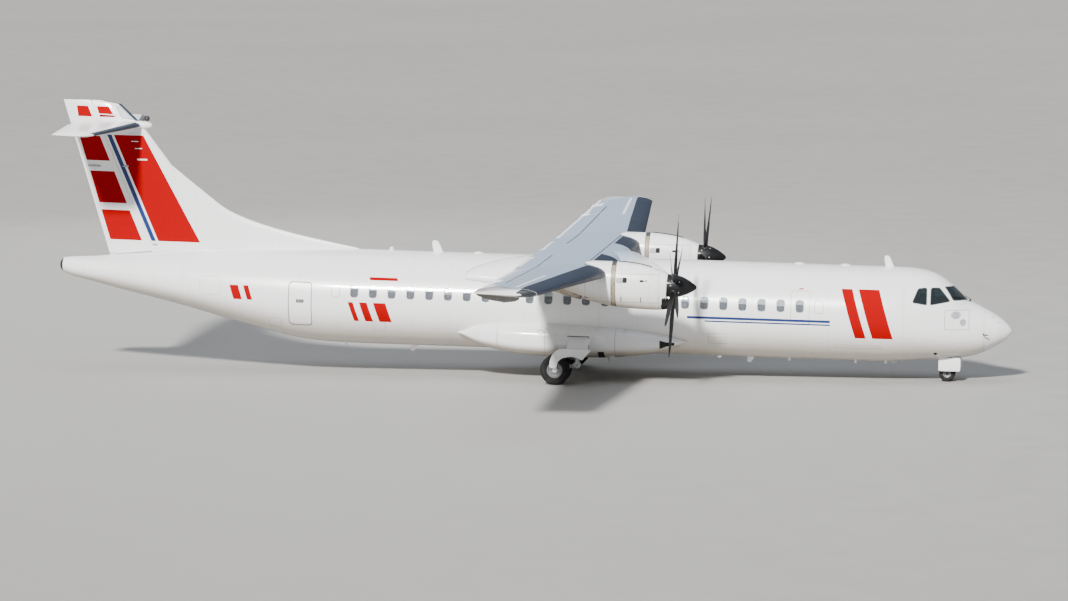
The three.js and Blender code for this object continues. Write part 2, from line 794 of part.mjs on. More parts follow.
function addPropellers() {
  const propeller = propellerSolid(0);
  const spinner = alongX(latheSolid(spinnerProfile, 20)).subtract(propellerSolid(fit));
  // The port propeller stands a half blade step round from the starboard one.
  const restTurns = { left: Math.PI / bladeCount, right: 0 };
  sides.forEach(([name, side]) => {
    const mount = new THREE.Group();
    mount.position.set(spinnerBase[0], side * spinnerBase[1], spinnerBase[2]);
    mount.rotation.y = thrustDroop;
    airframe.add(mount);
    const turning = new THREE.Group();
    turning.rotation.x = restTurns[name];
    mount.add(turning);
    addPiece(turning, `propeller_${name}`, propeller, 'black');
    addPiece(turning, `spinner_${name}`, mainBody(spinner), 'black');
  });
}

// Tail

function addTail() {
  const rings = filletTable.map(([x, top, half]) => {
    const rise = top - filletBaseZ;
    const shape = [[1, 0], [0.92, 0.45], [0.7, 0.8], [0.3, 0.97], [0, 1]];
    const port = shape.map(([w, h]) => [x, half * w, filletBaseZ + rise * h]);
    const starboard = shape.slice(0, -1).reverse().map(([w, h]) => [x, -half * w, filletBaseZ + rise * h]);
    return [...port, ...starboard];
  });
  const finFoil = foilLoft(finTable, finTable[0][0], 7415, upright);
  const rudderZone = hingeZone(finTable, rudderLine, rudderSpan, upright, rudderGap);
  const sparBox = (grow) => box([-12150 - grow, -11650 + grow], [-400, 400], [6712 - grow, 6788 + grow]);
  const fin = finFoil.subtract(rudderZone)
    .add(loft(rings))
    .subtract(wholeHull)
    .subtract(sparBox(fit));
  addPiece(airframe, 'fin', mainBody(fin), 'white');

  const rudder = finFoil
    .intersect(hingeZone(finTable, rudderLine, rudderSpan, upright, 0))
    .subtract(hull(tailX, rearX, 22));
  addHinged(airframe, 'rudder', mainBody(rudder), 'white',
    hingeLine(finTable, rudderLine, [rudderLine[0][0], 7000], upright));

  // Room for the rudder to swing between the two halves.
  const sweepOutline = [[-12330, 125], [-13700, 810], [-13700, -810], [-12330, -125]];
  const rudderSweep = prism(sweepOutline, 6400, 7100, (x, y, z) => [x, y, z]);
  const finGrown = foilLoft(finTable, finTable[0][0], 7415, upright, fit);
  const halves = [portWing, starboardWing].map((place) => foilLoft(tailplaneTable, 0, tailSpan / 2, place));
  let fixed = union(halves).subtract(finGrown).subtract(rudderSweep);
  [portWing, starboardWing].forEach((place) => {
    fixed = fixed.subtract(hingeZone(tailplaneTable, elevatorLine, elevatorSpan, place, swingGap));
  });
  addPiece(airframe, 'tailplane', mainBody(fixed.add(sparBox(0))), 'white');
  sides.forEach(([name, side], index) => {
    const place = side > 0 ? portWing : starboardWing;
    const elevator = halves[index]
      .intersect(hingeZone(tailplaneTable, elevatorLine, elevatorSpan, place, 0))
      .subtract(rudderSweep);
    addHinged(airframe, `elevator_${name}`, mainBody(elevator), 'white',
      hingeLine(tailplaneTable, elevatorLine, elevatorSpan, place));
  });
}

// Wheels: a pair of tyres with their hubs on one turning axle

function tyreSolid({ radius, rim, width, sides: count }) {
  const w = width / 2;
  const profile = [
    [rim, -0.75 * w], [0.74 * radius, -w], [0.93 * radius, -0.86 * w], [radius, -0.45 * w],
    [radius, 0.45 * w], [0.93 * radius, 0.86 * w], [0.74 * radius, w], [rim, 0.75 * w],
    [rim, -0.75 * w],
  ];
  return latheSolid(profile, count).rotate([0, 180 / count, 0]);
}

function hubPairSolid({ rim, width, offset, sides: count, axle }) {
  const outer = offset + width * 0.38;
  const inner = offset - width * 0.38;
  const seat = rim - 0.5;
  const half = [
    [axle, inner - 10], [seat, inner], [seat, outer], [0.85 * rim, outer],
    [0.75 * rim, outer - 0.16 * width], [0, outer - 0.16 * width],
  ];
  const mirrored = half.map(([r, y]) => [r, -y]).reverse();
  return latheSolid([...mirrored, ...half], count).rotate([0, 180 / count, 0]);
}

function axleHeight({ radius, sides: count }) {
  return radius * Math.cos(Math.PI / count);
}

function addWheelPair(parent, name, wheel, x, y) {
  const pivot = new THREE.Group();
  pivot.position.set(x, y, axleHeight(wheel));
  parent.add(pivot);
  addPiece(pivot, `${name}_hubs`, hubPairSolid(wheel), 'alloy');
  const tyre = tyreSolid(wheel);
  [['port', 1], ['starboard', -1]].forEach(([place, side]) => {
    const mesh = addPiece(pivot, `${name}_tyre_${place}`, tyre, 'rubber');
    mesh.position.y = side * wheel.offset;
  });
}

// Main landing gear: a leg with a trailing arm, and its curved door

const gearDoorOutline = [
  [857, 498], [868, 660], [930, 850], [1056, 985], [1214, 1030], [2040, 1000],
  [1850, 800], [1786, 705], [1643, 784], [1452, 816], [1214, 768], [1090, 660], [1056, 467],
];

function addMainGear() {
  const axleZ = axleHeight(mainTyre);
  const reach = mainTrack / 2;
  sides.forEach(([name, side]) => {
    const at = (x, y, z) => [x, side * y, z];
    const knee = [1600, 540];
    const leg = union([
      bar(at(mainBay.x[0] + 8, 1500, 985), at(mainBay.x[1] - 8, 1500, 985), 95),
      bar(at(1450, 1500, 985), at(knee[0], reach, knee[1]), 85, 72),
      bar(at(1690, 1500, 985), at(1480, reach, knee[1] - 20), 48, 48, 12),
      bar(at(knee[0], reach - 78, knee[1]), at(knee[0], reach + 78, knee[1]), 92),
      bar(at(knee[0], reach, knee[1]), at(mainWheelX, reach, axleZ), 72, 66),
      bar(at(mainWheelX, reach - 68, axleZ), at(mainWheelX, reach + 68, axleZ), 98),
      box([1370, 1530], [side * 1500 - 70, side * 1500 + 70], [985, mainBay.z[1] - fit]),
    ]).subtract(
      bar(at(mainWheelX, reach - 90, axleZ), at(mainWheelX, reach + 90, axleZ),
        mainTyre.axle + 5),
    );
    addPiece(parked, `main_gear_leg_${name}`, leg, 'gearPaint');

    const doorY = 2430;
    const plate = prism(gearDoorOutline, side * doorY, side * (doorY + 26), sideways);
    const upper = prism([[doorY + 13, 985], [1800, 1255], [1790, 1228], [doorY + 13, 952]],
      1330, 1925, (y, z, x) => [x, side * y, z]);
    const stub = bar(at(knee[0] - 10, reach + 78 + fit, knee[1]), at(knee[0] - 10, 2300, knee[1]), 26);
    const link = bar(at(knee[0] - 10, 2282, knee[1] + 3), at(1640, doorY + 13, 880), 20);
    const door = union([plate, upper, stub, link]);
    addPiece(parked, `main_gear_door_${name}`, door, 'white');
    addWheelPair(parked, `main_wheel_${name}`, mainTyre, mainWheelX, side * reach);
  });
}

// Nose landing gear, steered about an upright leg

const noseGear = { legFoot: 505, forkTop: 498, doorZ: [545, 940], doorX: [11580, 12200] };

function addNoseGear() {
  const axleZ = axleHeight(noseTyre);
  const bayRoofZ = 925;
  const leg = union([
    bar([noseWheelX, 0, noseGear.legFoot], [noseWheelX, 0, bayRoofZ], 68),
    bar([noseWheelX, -330, 800], [noseWheelX, 330, 800], 42, 42, 12),
    bar([12130, 0, 880], [noseWheelX, 0, 600], 32, 32, 12),
  ]);
  addPiece(parked, 'nose_gear_leg', leg, 'gearPaint');

  const fork = union([
    bar([noseWheelX, 0, axleZ], [noseWheelX, 0, noseGear.forkTop], 50),
    bar([noseWheelX, -58, axleZ], [noseWheelX, 58, axleZ], 60),
    box([noseWheelX + 20, noseWheelX + 130], [-34, 34], [axleZ + 62, axleZ + 130]),
  ]).subtract(
    bar([noseWheelX, -80, axleZ], [noseWheelX, 80, axleZ], noseTyre.axle + 5),
  );
  addPiece(parked, 'nose_fork', fork, 'gearPaint');
  addWheelPair(parked, 'nose_wheel', noseTyre, noseWheelX, 0);

  sides.forEach(([name, side]) => {
    const y = [side * (noseBay.half + 6), side * (noseBay.half + 22)].sort((a, b) => a - b);
    const plate = box(noseGear.doorX, y, noseGear.doorZ).subtract(wholeHull);
    addPiece(airframe, `nose_gear_door_${name}`, mainBody(plate), 'white');
  });
}

// Assembly

const wingSolid = addWing();
const outerWingSolid = union([portWing, starboardWing].map((place) =>
  foilLoft(wingTable, wingBreakY - 10, 6000, place, fit)));
addCockpit();
addFlightDeck();
addFuselage(wingSolid);
addWingFairing(wingSolid);
addBellyFairing();
addNacelles(wingSolid, outerWingSolid);
addPropellers();
addTail();
addMainGear();
addNoseGear();

airliner.updateMatrixWorld(true);
const bounds = new THREE.Box3().setFromObject(airliner, true);
parked.position.x = -(bounds.min.x + bounds.max.x) / 2;

export default airliner;
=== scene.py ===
"""Looks of a twin-turboprop regional airliner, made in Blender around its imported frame.

Lengths are metres. Pieces of the airframe are made level, with x = 0 at mid length, and are
then set nose down as the aircraft parks: +X to the nose, +Y to port, +Z up, ground at z = 0.
"""
import random
from bisect import bisect_right
from math import ceil, copysign, cos, pi, radians, sin, sqrt, tan

import bmesh
import bpy
from bpy.props import FloatProperty, FloatVectorProperty, PointerProperty
from mathutils import Matrix, Vector


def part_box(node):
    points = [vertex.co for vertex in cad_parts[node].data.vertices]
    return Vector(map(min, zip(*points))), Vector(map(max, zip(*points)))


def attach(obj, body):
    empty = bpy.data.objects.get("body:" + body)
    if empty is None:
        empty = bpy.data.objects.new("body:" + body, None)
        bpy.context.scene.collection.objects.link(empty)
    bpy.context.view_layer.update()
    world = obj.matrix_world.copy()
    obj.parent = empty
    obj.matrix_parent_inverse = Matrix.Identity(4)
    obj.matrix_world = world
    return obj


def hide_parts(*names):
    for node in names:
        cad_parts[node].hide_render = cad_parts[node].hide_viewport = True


bl_info = {
    "name": "Turboprop Airliner",
    "version": (1, 0, 0),
    "blender": (4, 5, 0),
    "location": "3D View > Sidebar > Airliner",
    "description": "Dresses the frame of a twin-turboprop regional airliner",
    "category": "Object",
}

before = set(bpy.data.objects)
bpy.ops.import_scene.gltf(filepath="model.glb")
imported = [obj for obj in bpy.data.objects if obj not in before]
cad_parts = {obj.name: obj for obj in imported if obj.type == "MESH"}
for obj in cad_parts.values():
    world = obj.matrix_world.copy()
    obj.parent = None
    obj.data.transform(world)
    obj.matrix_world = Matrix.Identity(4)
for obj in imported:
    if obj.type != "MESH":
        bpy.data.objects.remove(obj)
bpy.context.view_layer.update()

# Driving dimensions, as in the part's source.
LENGTH = 27.166
SPAN = 27.05
TAIL_SPAN = 7.31
NOSE_X = LENGTH / 2
NOSE_DOWN = radians(1.15)
STANCE_PIVOT_Z = 2.0
MAIN_WHEEL_X = 1.0
MAIN_TRACK = 4.1
WHEELBASE = 10.79
NOSE_WHEEL_X = MAIN_WHEEL_X + WHEELBASE
MAIN_TYRE = {"radius": 0.42, "rim": 0.215, "width": 0.254, "offset": 0.215, "axle": 0.05}
NOSE_TYRE = {"radius": 0.225, "rim": 0.11, "width": 0.18, "offset": 0.165, "axle": 0.025}
PROPELLER_Y = 4.05
PROPELLER_RADIUS = 3.93 / 2
SPINNER_BASE = (4.325, PROPELLER_Y, 3.106)
THRUST_DROOP = radians(2.5)
BLADE_COUNT = 6
BLADE_PLANE = 0.19
SWING_GAP = 0.01

hub_low, hub_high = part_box("main_wheel_left_hubs")
SHIFT_X = (hub_low.x + hub_high.x) / 2 - MAIN_WHEEL_X
MAIN_AXLE_Z = (hub_low.z + hub_high.z) / 2
nose_low, nose_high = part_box("nose_wheel_hubs")
NOSE_AXLE_Z = (nose_low.z + nose_high.z) / 2
PARKED = Matrix.Translation((SHIFT_X, 0, 0))
AIRFRAME = (PARKED @ Matrix.Translation((0, 0, STANCE_PIVOT_Z)) @ Matrix.Rotation(NOSE_DOWN, 4, "Y")
    @ Matrix.Translation((0, 0, -STANCE_PIVOT_Z)))

# Fuselage: station aft of the nose, crown, keel, half width, height of the widest point.
HULL_TABLE = [(0.0, 1.716, 1.684, 0.016, 1.700), (0.03, 1.790, 1.610, 0.095, 1.700),
    (0.16, 1.940, 1.450, 0.245, 1.695), (0.35, 2.090, 1.320, 0.400, 1.700),
    (0.62, 2.250, 1.165, 0.560, 1.705), (0.89, 2.385, 1.040, 0.700, 1.715),
    (1.22, 2.550, 0.945, 0.860, 1.735), (1.63, 2.910, 0.890, 1.020, 1.760),
    (1.85, 3.090, 0.870, 1.090, 1.780), (2.12, 3.240, 0.850, 1.165, 1.810),
    (2.44, 3.340, 0.825, 1.240, 1.850), (2.93, 3.395, 0.780, 1.330, 1.900),
    (3.66, 3.400, 0.735, 1.405, 1.945), (4.4, 3.400, 0.730, 1.4325, 1.9675),
    (18.0, 3.400, 0.730, 1.4325, 1.9675), (19.18, 3.400, 0.742, 1.425, 1.975),
    (20.18, 3.395, 0.830, 1.400, 2.005), (21.18, 3.375, 1.055, 1.345, 2.065),
    (22.18, 3.330, 1.290, 1.250, 2.165), (23.18, 3.260, 1.550, 1.110, 2.290),
    (24.18, 3.170, 1.780, 0.930, 2.420), (25.18, 3.070, 1.990, 0.710, 2.530),
    (26.15, 2.955, 2.220, 0.470, 2.600), (27.05, 2.890, 2.460, 0.225, 2.672),
    (LENGTH, 2.800, 2.560, 0.130, 2.680)]
RADOME_X, COCKPIT_X, FORWARD_X, CENTRE_X, REAR_X = 12.88, 10.65, 4.7, -3.2, -9.9
TAIL_X = -NOSE_X
HULL_SIDES = 96
HULL_WALL = 0.11
HULL_RADIUS = 1.43
HULL_CENTRE_Z = 2.0
JOINT_DEPTH = 0.004

# Nacelles: x, crown, keel, half width, height of the widest point.
NACELLE_TABLE = [(4.32, 3.440, 2.450, 0.330, 3.106), (4.18, 3.500, 2.432, 0.352, 3.106),
    (3.95, 3.580, 2.425, 0.395, 3.110), (3.40, 3.690, 2.440, 0.445, 3.120),
    (2.90, 3.725, 2.485, 0.465, 3.130), (2.25, 3.725, 2.600, 0.465, 3.150),
    (1.80, 3.560, 2.760, 0.455, 3.160), (1.30, 3.500, 2.960, 0.420, 3.200),
    (0.70, 3.480, 3.130, 0.330, 3.260), (0.15, 3.400, 3.240, 0.150, 3.320)]

# Wing: span, leading edge, trailing edge, height, thickness to chord, camber.
WING_TABLE = [(0.0, 2.650, 0.080, 3.410, 0.17, 0.018), (4.6, 2.650, 0.080, 3.410, 0.17, 0.018),
    (13.15, 1.938, 0.310, 3.774, 0.13, 0.018), (13.3, 1.920, 0.314, 3.781, 0.12, 0.016),
    (13.42, 1.860, 0.318, 3.786, 0.11, 0.015), (SPAN / 2, 1.560, 0.360, 3.792, 0.05, 0.01)]
WING_BREAK_Y = 4.6
FLAP_LINE = [(0.0, 0.95), (WING_BREAK_Y, 0.95), (SPAN / 2, 0.8)]
FLAP_INNER = (1.53, 3.56)
FLAP_OUTER = (4.66, 9.34)
AILERON_SPAN = (9.4, 12.9)

# Tailplane as the wing, fin by height.
TAILPLANE_TABLE = [(0.0, -11.240, -13.310, 6.750, 0.11, 0.0), (3.5, -11.895, -13.050, 6.705, 0.1, 0.0),
    (TAIL_SPAN / 2, -12.080, -13.040, 6.703, 0.05, 0.0)]
ELEVATOR_LINE = [(0.0, -12.59), (TAIL_SPAN / 2, -12.65)]
ELEVATOR_SPAN = (0.15, 3.5)
FIN_TABLE = [(2.900, -8.220, -12.105, 0.0, 0.085, 0.0), (5.650, -10.400, -12.975, 0.0, 0.09, 0.0),
    (6.830, -11.320, -13.350, 0.0, 0.1, 0.0), (7.330, -11.870, -13.508, 0.0, 0.09, 0.0),
    (7.415, -12.450, -13.530, 0.0, 0.04, 0.0)]
FIN_TOP_Z = 7.415
RUDDER_LINE = [(3.09, -10.93), (FIN_TOP_Z, -12.772)]
RUDDER_SPAN = (3.06, FIN_TOP_Z)
FILLET_TABLE = [(-4.95, 3.425, 0.020), (-5.64, 3.550, 0.060), (-7.18, 3.870, 0.095),
    (-8.62, 4.340, 0.120), (-9.52, 4.960, 0.110), (-10.42, 5.650, 0.070), (-10.70, 5.860, 0.030)]
FILLET_BASE_Z = 3.15

# Fairing over the wing root as the fuselage, belly fairing: x, half width, top, bottom.
WING_FAIRING_TABLE = [(4.15, 3.200, 2.600, 1.080, 2.850), (3.91, 3.287, 2.450, 1.190, 2.750),
    (3.65, 3.348, 2.450, 1.220, 2.750), (3.25, 3.405, 2.500, 1.340, 2.800),
    (2.9, 3.545, 2.600, 1.430, 2.940), (2.65, 3.600, 2.630, 1.470, 3.000),
    (2.35, 3.618, 2.660, 1.490, 3.050), (2.1, 3.600, 2.660, 1.490, 3.050),
    (1.0, 3.550, 2.660, 1.490, 3.050), (0.5, 3.480, 2.620, 1.480, 2.980),
    (0.1, 3.400, 2.540, 1.440, 2.860), (-0.27, 3.383, 2.500, 1.350, 2.780),
    (-0.88, 3.334, 2.345, 1.270, 2.750), (-1.42, 3.235, 2.384, 1.220, 2.800),
    (-1.7, 3.104, 2.555, 1.195, 2.800), (-1.8, 3.000, 2.600, 1.100, 2.850)]
BELLY_TABLE = [(4.6, 1.190, 1.250, 1.190), (4.25, 1.350, 1.420, 0.980), (3.7, 1.500, 1.540, 0.820),
    (2.9, 1.650, 1.640, 0.690), (2.0, 1.730, 1.700, 0.625), (1.0, 1.750, 1.720, 0.615),
    (0.0, 1.740, 1.720, 0.650), (-0.7, 1.660, 1.690, 0.740), (-1.3, 1.500, 1.620, 0.880),
    (-1.9, 1.190, 1.290, 1.230)]

PASSENGER_DOOR = {"x": (-6.85, -6.03), "z": (1.3, 3.05), "lean": 0.4, "side": 1}
CARGO_DOOR = {"x": (8.6, 10.13), "z": (1.34, 2.615), "lean": -0.2, "side": 1}
SERVICE_DOOR = {"x": (-6.69, -6.06), "z": (1.33, 2.53), "lean": 0.0, "side": -1}
LEAN_EDGE_Y = 1.1
DOOR_CORNER = 0.11
VESTIBULE = {"x": (-7.7, -4.4), "floor": 1.29}
CARGO_BAY = {"x": (8.45, 10.3), "floor": 1.33}
CAB = {"x": (COCKPIT_X - 0.02, 12.26), "floor": 1.25}
CAB_WALL = 0.055
NOSE_BAY = {"x": (11.48, 12.24), "half": 0.365, "top": 1.18}
MAIN_BAY = {"x": (1.06, 1.79), "y": (1.2, 2.2), "z": (0.3, 1.12)}
WINDSCREEN = [(0.06, 2.575), (0.705, 2.576), (0.535, 2.935), (0.06, 2.915)]
SIDE_WINDOWS = {"front": [(11.35, 2.92), (11.58, 2.917), (11.886, 2.562), (11.354, 2.467)],
    "rear": [(11.0, 2.904), (11.235, 2.922), (11.253, 2.467), (10.857, 2.535)]}

# Cabin windows, at the measured places along the side.
WINDOW_PITCH = 0.534
WINDOW_Z = 2.34
AFT_WINDOWS = [-5.36 + WINDOW_PITCH * k for k in range(10)]
WING_WINDOWS = [0.16, 0.69, 1.22, 1.75, 2.29, 2.82, 3.36, 3.89]
FORWARD_WINDOWS = [4.54 + WINDOW_PITCH * k for k in range(8)]
BLANKED_WINDOWS = (AFT_WINDOWS[0], FORWARD_WINDOWS[-1])
EXIT_HATCH = {"x": (7.5, 8.02), "z": (1.85, 2.76)}


# Curves and tables

def monotone_curve(keys, values):
    """A smooth curve through points that adds no bump between them."""
    steps = [b - a for a, b in zip(keys, keys[1:])]
    rates = [(b - a) / step for a, b, step in zip(values, values[1:], steps)]
    slopes = [rates[0]]
    for left, right, before, after in zip(rates, rates[1:], steps, steps[1:]):
        if left * right <= 0:
            slopes.append(0.0)
        else:
            first, second = 2 * after + before, after + 2 * before
            slopes.append((first + second) / (first / left + second / right))
    slopes.append(rates[-1])

    def at(key):
        i = min(max(bisect_right(keys, key) - 1, 0), len(steps) - 1)
        t = min(max((key - keys[i]) / steps[i], 0.0), 1.0)
        ends = (1 + 2 * t) * (1 - t) ** 2 * values[i] + t * t * (3 - 2 * t) * values[i + 1]
        bends = t * (1 - t) ** 2 * slopes[i] + t * t * (t - 1) * slopes[i + 1]
        return ends + steps[i] * bends

    return at


def smooth_table(table):
    """Smooth columns over a table's first column, as a function that gives one row."""
    rows = sorted(table)
    keys = [row[0] for row in rows]
    columns = [monotone_curve(keys, [row[i] for row in rows]) for i in range(1, len(rows[0]))]
    return lambda key: [column(key) for column in columns]


def straight_table(table):
    """Straight lines between a table's rows, as a function that gives one row."""
    rows = sorted(table)
    keys = [row[0] for row in rows]

    def at(key):
        i = min(max(bisect_right(keys, key) - 1, 0), len(rows) - 2)
        share = min(max((key - keys[i]) / (keys[i + 1] - keys[i]), 0.0), 1.0)
        return [a + share * (b - a) for a, b in zip(rows[i][1:], rows[i + 1][1:])]

    return at


hull_by_root = smooth_table([(sqrt(row[0]), *row[1:]) for row in HULL_TABLE])
nacelle_row = smooth_table(NACELLE_TABLE)
wing_fairing_row = smooth_table(WING_FAIRING_TABLE)
belly_row = smooth_table(BELLY_TABLE)
fillet_row = smooth_table(FILLET_TABLE)


def hull_row(x):
    """Crown, keel, half width and height of the widest point of the fuselage at x."""
    return hull_by_root(sqrt(max(NOSE_X - x, 0.0)))


def spread(start, end, step):
    """Even places from start to end, about a step apart."""
    count = max(1, round(abs(end - start) / step))
    return [start + (end - start) * k / count for k in range(count + 1)]


# Meshes as (points, faces)

def lofted(rings, closed=False):
    """A closed body through rings of equally many points, or a closed loop of rings."""
    count = len(rings[0])
    total = len(rings)
    points = [tuple(point) for ring in rings for point in ring]
    faces = []
    for i in range(total if closed else total - 1):
        for j in range(count):
            a, b = i * count + j, i * count + (j + 1) % count
            c, d = (i + 1) % total * count + (j + 1) % count, (i + 1) % total * count + j
            faces.append((a, b, c, d))
    if not closed:
        faces.append(tuple(reversed(range(count))))
        faces.append(tuple(range((total - 1) * count, total * count)))
    return points, faces


def merged(*parts):
    points, faces = [], []
    for more_points, more_faces in parts:
        start = len(points)
        points += more_points
        faces += [tuple(start + index for index in face) for face in more_faces]
    return points, faces


def moved(part, matrix):
    return [tuple(matrix @ Vector(point)) for point in part[0]], part[1]


def block(x, y, z):
    points = [(a, b, c) for a in x for b in y for c in z]
    faces = [(0, 1, 3, 2), (4, 6, 7, 5), (0, 4, 5, 1), (2, 3, 7, 6), (0, 2, 6, 4), (1, 5, 7, 3)]
    return points, faces


def circle(centre, axis, radius, sides):
    """Points round a circle across an axis."""
    along = Vector(axis).normalized()
    across = along.orthogonal().normalized()
    other = along.cross(across)
    turn = 2 * pi / sides
    return [tuple(Vector(centre) + radius * (cos(turn * k) * across + sin(turn * k) * other))
        for k in range(sides)]


def rod(start, end, radius, end_radius=None, sides=24):
    axis = Vector(end) - Vector(start)
    last = radius if end_radius is None else end_radius
    return lofted([circle(start, axis, radius, sides), circle(end, axis, last, sides)])


def turned(profile, start, axis, sides=48):
    """A profile of (radius, distance) turned about an axis from a start point."""
    along = Vector(axis).normalized()
    rings = [circle(Vector(start) + along * distance, along, max(radius, 0.0005), sides) for radius,
        distance in profile]
    return lofted(rings)


def turned_ring(profile, start, axis, sides=64):
    """A closed profile of (radius, distance) turned about an axis, open in the middle."""
    along = Vector(axis).normalized()
    circles = [circle(Vector(start) + along * distance, along, radius, sides) for radius,
        distance in profile]
    return lofted([[one[k] for one in circles] for k in range(sides)], closed=True)


def hose(points, radius, sides=10):
    """A tube along a smooth curve through points."""
    path = [Vector(point) for point in points]
    padded = [2 * path[0] - path[1], *path, 2 * path[-1] - path[-2]]
    line = []
    steps = 8
    for a, b, c, d in zip(padded, padded[1:], padded[2:], padded[3:]):
        for k in range(steps):
            t = k / steps
            line.append(0.5 * (2 * b + (c - a) * t + (2 * a - 5 * b + 4 * c - d) * t * t
                + (3 * b - 3 * c + d - a) * t ** 3))
    line.append(path[-1])
    normal = (line[1] - line[0]).orthogonal().normalized()
    rings = []
    for k, centre in enumerate(line):
        along = (line[min(k + 1, len(line) - 1)] - line[max(k - 1, 0)]).normalized()
        normal = (normal - along * normal.dot(along)).normalized()
        other = along.cross(normal)
        rings.append([tuple(centre + radius * (cos(turn) * normal + sin(turn) * other))
            for turn in (2 * pi * j / sides for j in range(sides))])
    return lofted(rings)


# Outlines in two coordinates, and what is laid on a surface by them

def rounded(outline, radius, steps=5):
    """An outline with its corners rounded."""
    result = []
    count = len(outline)
    for k in range(count):
        corner = Vector(outline[k])
        arms = []
        for other in (outline[k - 1], outline[(k + 1) % count]):
            arm = Vector(other) - corner
            arms.append(arm.normalized() * min(radius, arm.length * 0.49))
        for step in range(steps + 1):
            t = step / steps
            result.append(tuple(corner + arms[0] * (1 - t) ** 2 + arms[1] * t * t))
    return result


def plate(x, z, radius=0.04):
    """A rounded rectangle between two x and two z."""
    return rounded([(x[0], z[0]), (x[1], z[0]), (x[1], z[1]), (x[0], z[1])], radius)


def disc(centre, radius, squash=1.0, sides=32):
    turn = 2 * pi / sides
    return [(centre[0] + radius * cos(turn * k), centre[1] + squash * radius * sin(turn * k))
        for k in range(sides)]


def clean(outline):
    """An outline without points that repeat."""
    kept = []
    for point in outline:
        if not kept or (Vector(point) - Vector(kept[-1])).length > 1e-4:
            kept.append(point)
    while (Vector(kept[0]) - Vector(kept[-1])).length <= 1e-4:
        kept.pop()
    flat = []
    count = len(kept)
    for k in range(count):
        a, b, c = Vector(kept[k - 1]), Vector(kept[k]), Vector(kept[(k + 1) % count])
        if abs((b - a).normalized().cross((c - b).normalized())) > 1e-4:
            flat.append(kept[k])
    return flat


def patch(outline, surface, lift, thickness, cell=0.08):
    """A sheet inside an outline that follows a surface, as a closed body."""
    shape = bmesh.new()
    shape.faces.new([shape.verts.new((u, v, 0)) for u, v in outline])
    bmesh.ops.triangulate(shape, faces=shape.faces[:])
    for axis in (0, 1):
        low = min(point[axis] for point in outline)
        high = max(point[axis] for point in outline)
        normal = (1, 0, 0) if axis == 0 else (0, 1, 0)
        for place in spread(low, high, cell)[1:-1]:
            geometry = shape.verts[:] + shape.edges[:] + shape.faces[:]
            bmesh.ops.bisect_plane(shape, geom=geometry, dist=1e-6, plane_no=normal,
                plane_co=tuple(place * value for value in normal))
    shape.verts.index_update()
    flat = [tuple(vertex.co[:2]) for vertex in shape.verts]
    top = [tuple(face_vertex.index for face_vertex in face.verts) for face in shape.faces]
    count = len(flat)
    faces = top + [tuple(count + index for index in reversed(face)) for face in top]
    for edge in shape.edges:
        if edge.is_boundary:
            loop = edge.link_loops[0]
            a, b = loop.vert.index, loop.link_loop_next.vert.index
            faces.append((b, a, count + a, count + b))
    shape.free()
    points = [surface(u, v, lift) for u, v in flat]
    points += [surface(u, v, lift - thickness) for u, v in flat]
    return points, faces


def ribbon(path, surface, width, lift=0.0012, thickness=0.004, closed=True, cell=0.06):
    """A narrow band along a line on a surface, as a closed body."""
    line = []
    count = len(path)
    for k in range(count if closed else count - 1):
        a, b = Vector(path[k]), Vector(path[(k + 1) % count])
        steps = max(1, ceil((b - a).length / cell))
        line += [a.lerp(b, step / steps) for step in range(steps)]
    if not closed:
        line.append(Vector(path[-1]))
    rings = []
    total = len(line)
    for k, point in enumerate(line):
        before = line[k - 1] if closed or k else point
        after = line[(k + 1) % total] if closed or k + 1 < total else point
        along = (after - before).normalized()
        side = Vector((-along.y, along.x)) * width / 2
        out, into = point + side, point - side
        rings.append([surface(*out, lift), surface(*into, lift), surface(*into, lift - thickness),
            surface(*out, lift - thickness)])
    return lofted(rings, closed)


def oval_side(row_at, side, middle=0.0):
    """Places (x, z) on one side of an oval body whose middle is at y."""
    def surface(x, z, lift):
        crown, keel, half, wide = row_at(x)
        rise = (crown - wide if z >= wide else wide - keel) + lift
        ratio = min(abs(z - wide) / rise, 1.0)
        return x, middle + side * (half + lift) * sqrt(1 - ratio * ratio), z
    return surface


def oval_crown(row_at, middle=0.0):
    """Places (x, y) on top of an oval body, y from its middle."""
    def surface(x, y, lift):
        crown, _, half, wide = row_at(x)
        ratio = min(abs(y) / (half + lift), 1.0)
        return x, middle + y, wide + (crown - wide + lift) * sqrt(1 - ratio * ratio)
    return surface


def hull_side(side):
    return oval_side(hull_row, side)


def hull_front(side):
    """Places (y, z) on the front of the fuselage, seen along its length."""
    def surface(y, z, lift):
        low, high = 10.9, NOSE_X
        for _ in range(30):
            middle = (low + high) / 2
            crown, keel, half, wide = hull_row(middle)
            rise = (crown - wide if z >= wide else wide - keel) + lift
            inside = (y / (half + lift)) ** 2 + ((z - wide) / rise) ** 2 < 1
            low, high = (middle, high) if inside else (low, middle)
        return low, side * y, z
    return surface


# Blender objects

def add_object(name, part, place=AIRFRAME):
    """An object from one mesh, or from a list of meshes in one."""
    if isinstance(part, list):
        part = merged(*part)
    mesh = bpy.data.meshes.new(name)
    mesh.from_pydata([place @ Vector(point) for point in part[0]], [], part[1])
    shape = bmesh.new()
    shape.from_mesh(mesh)
    bmesh.ops.recalc_face_normals(shape, faces=shape.faces)
    shape.to_mesh(mesh)
    shape.free()
    piece = bpy.data.objects.new(name, mesh)
    bpy.context.scene.collection.objects.link(piece)
    return piece


def bake(piece):
    """Applies a piece's modifiers to its mesh."""
    bpy.context.view_layer.update()
    depsgraph = bpy.context.evaluated_depsgraph_get()
    mesh = bpy.data.meshes.new_from_object(piece.evaluated_get(depsgraph))
    piece.modifiers.clear()
    old = piece.data
    piece.data = mesh
    bpy.data.meshes.remove(old)


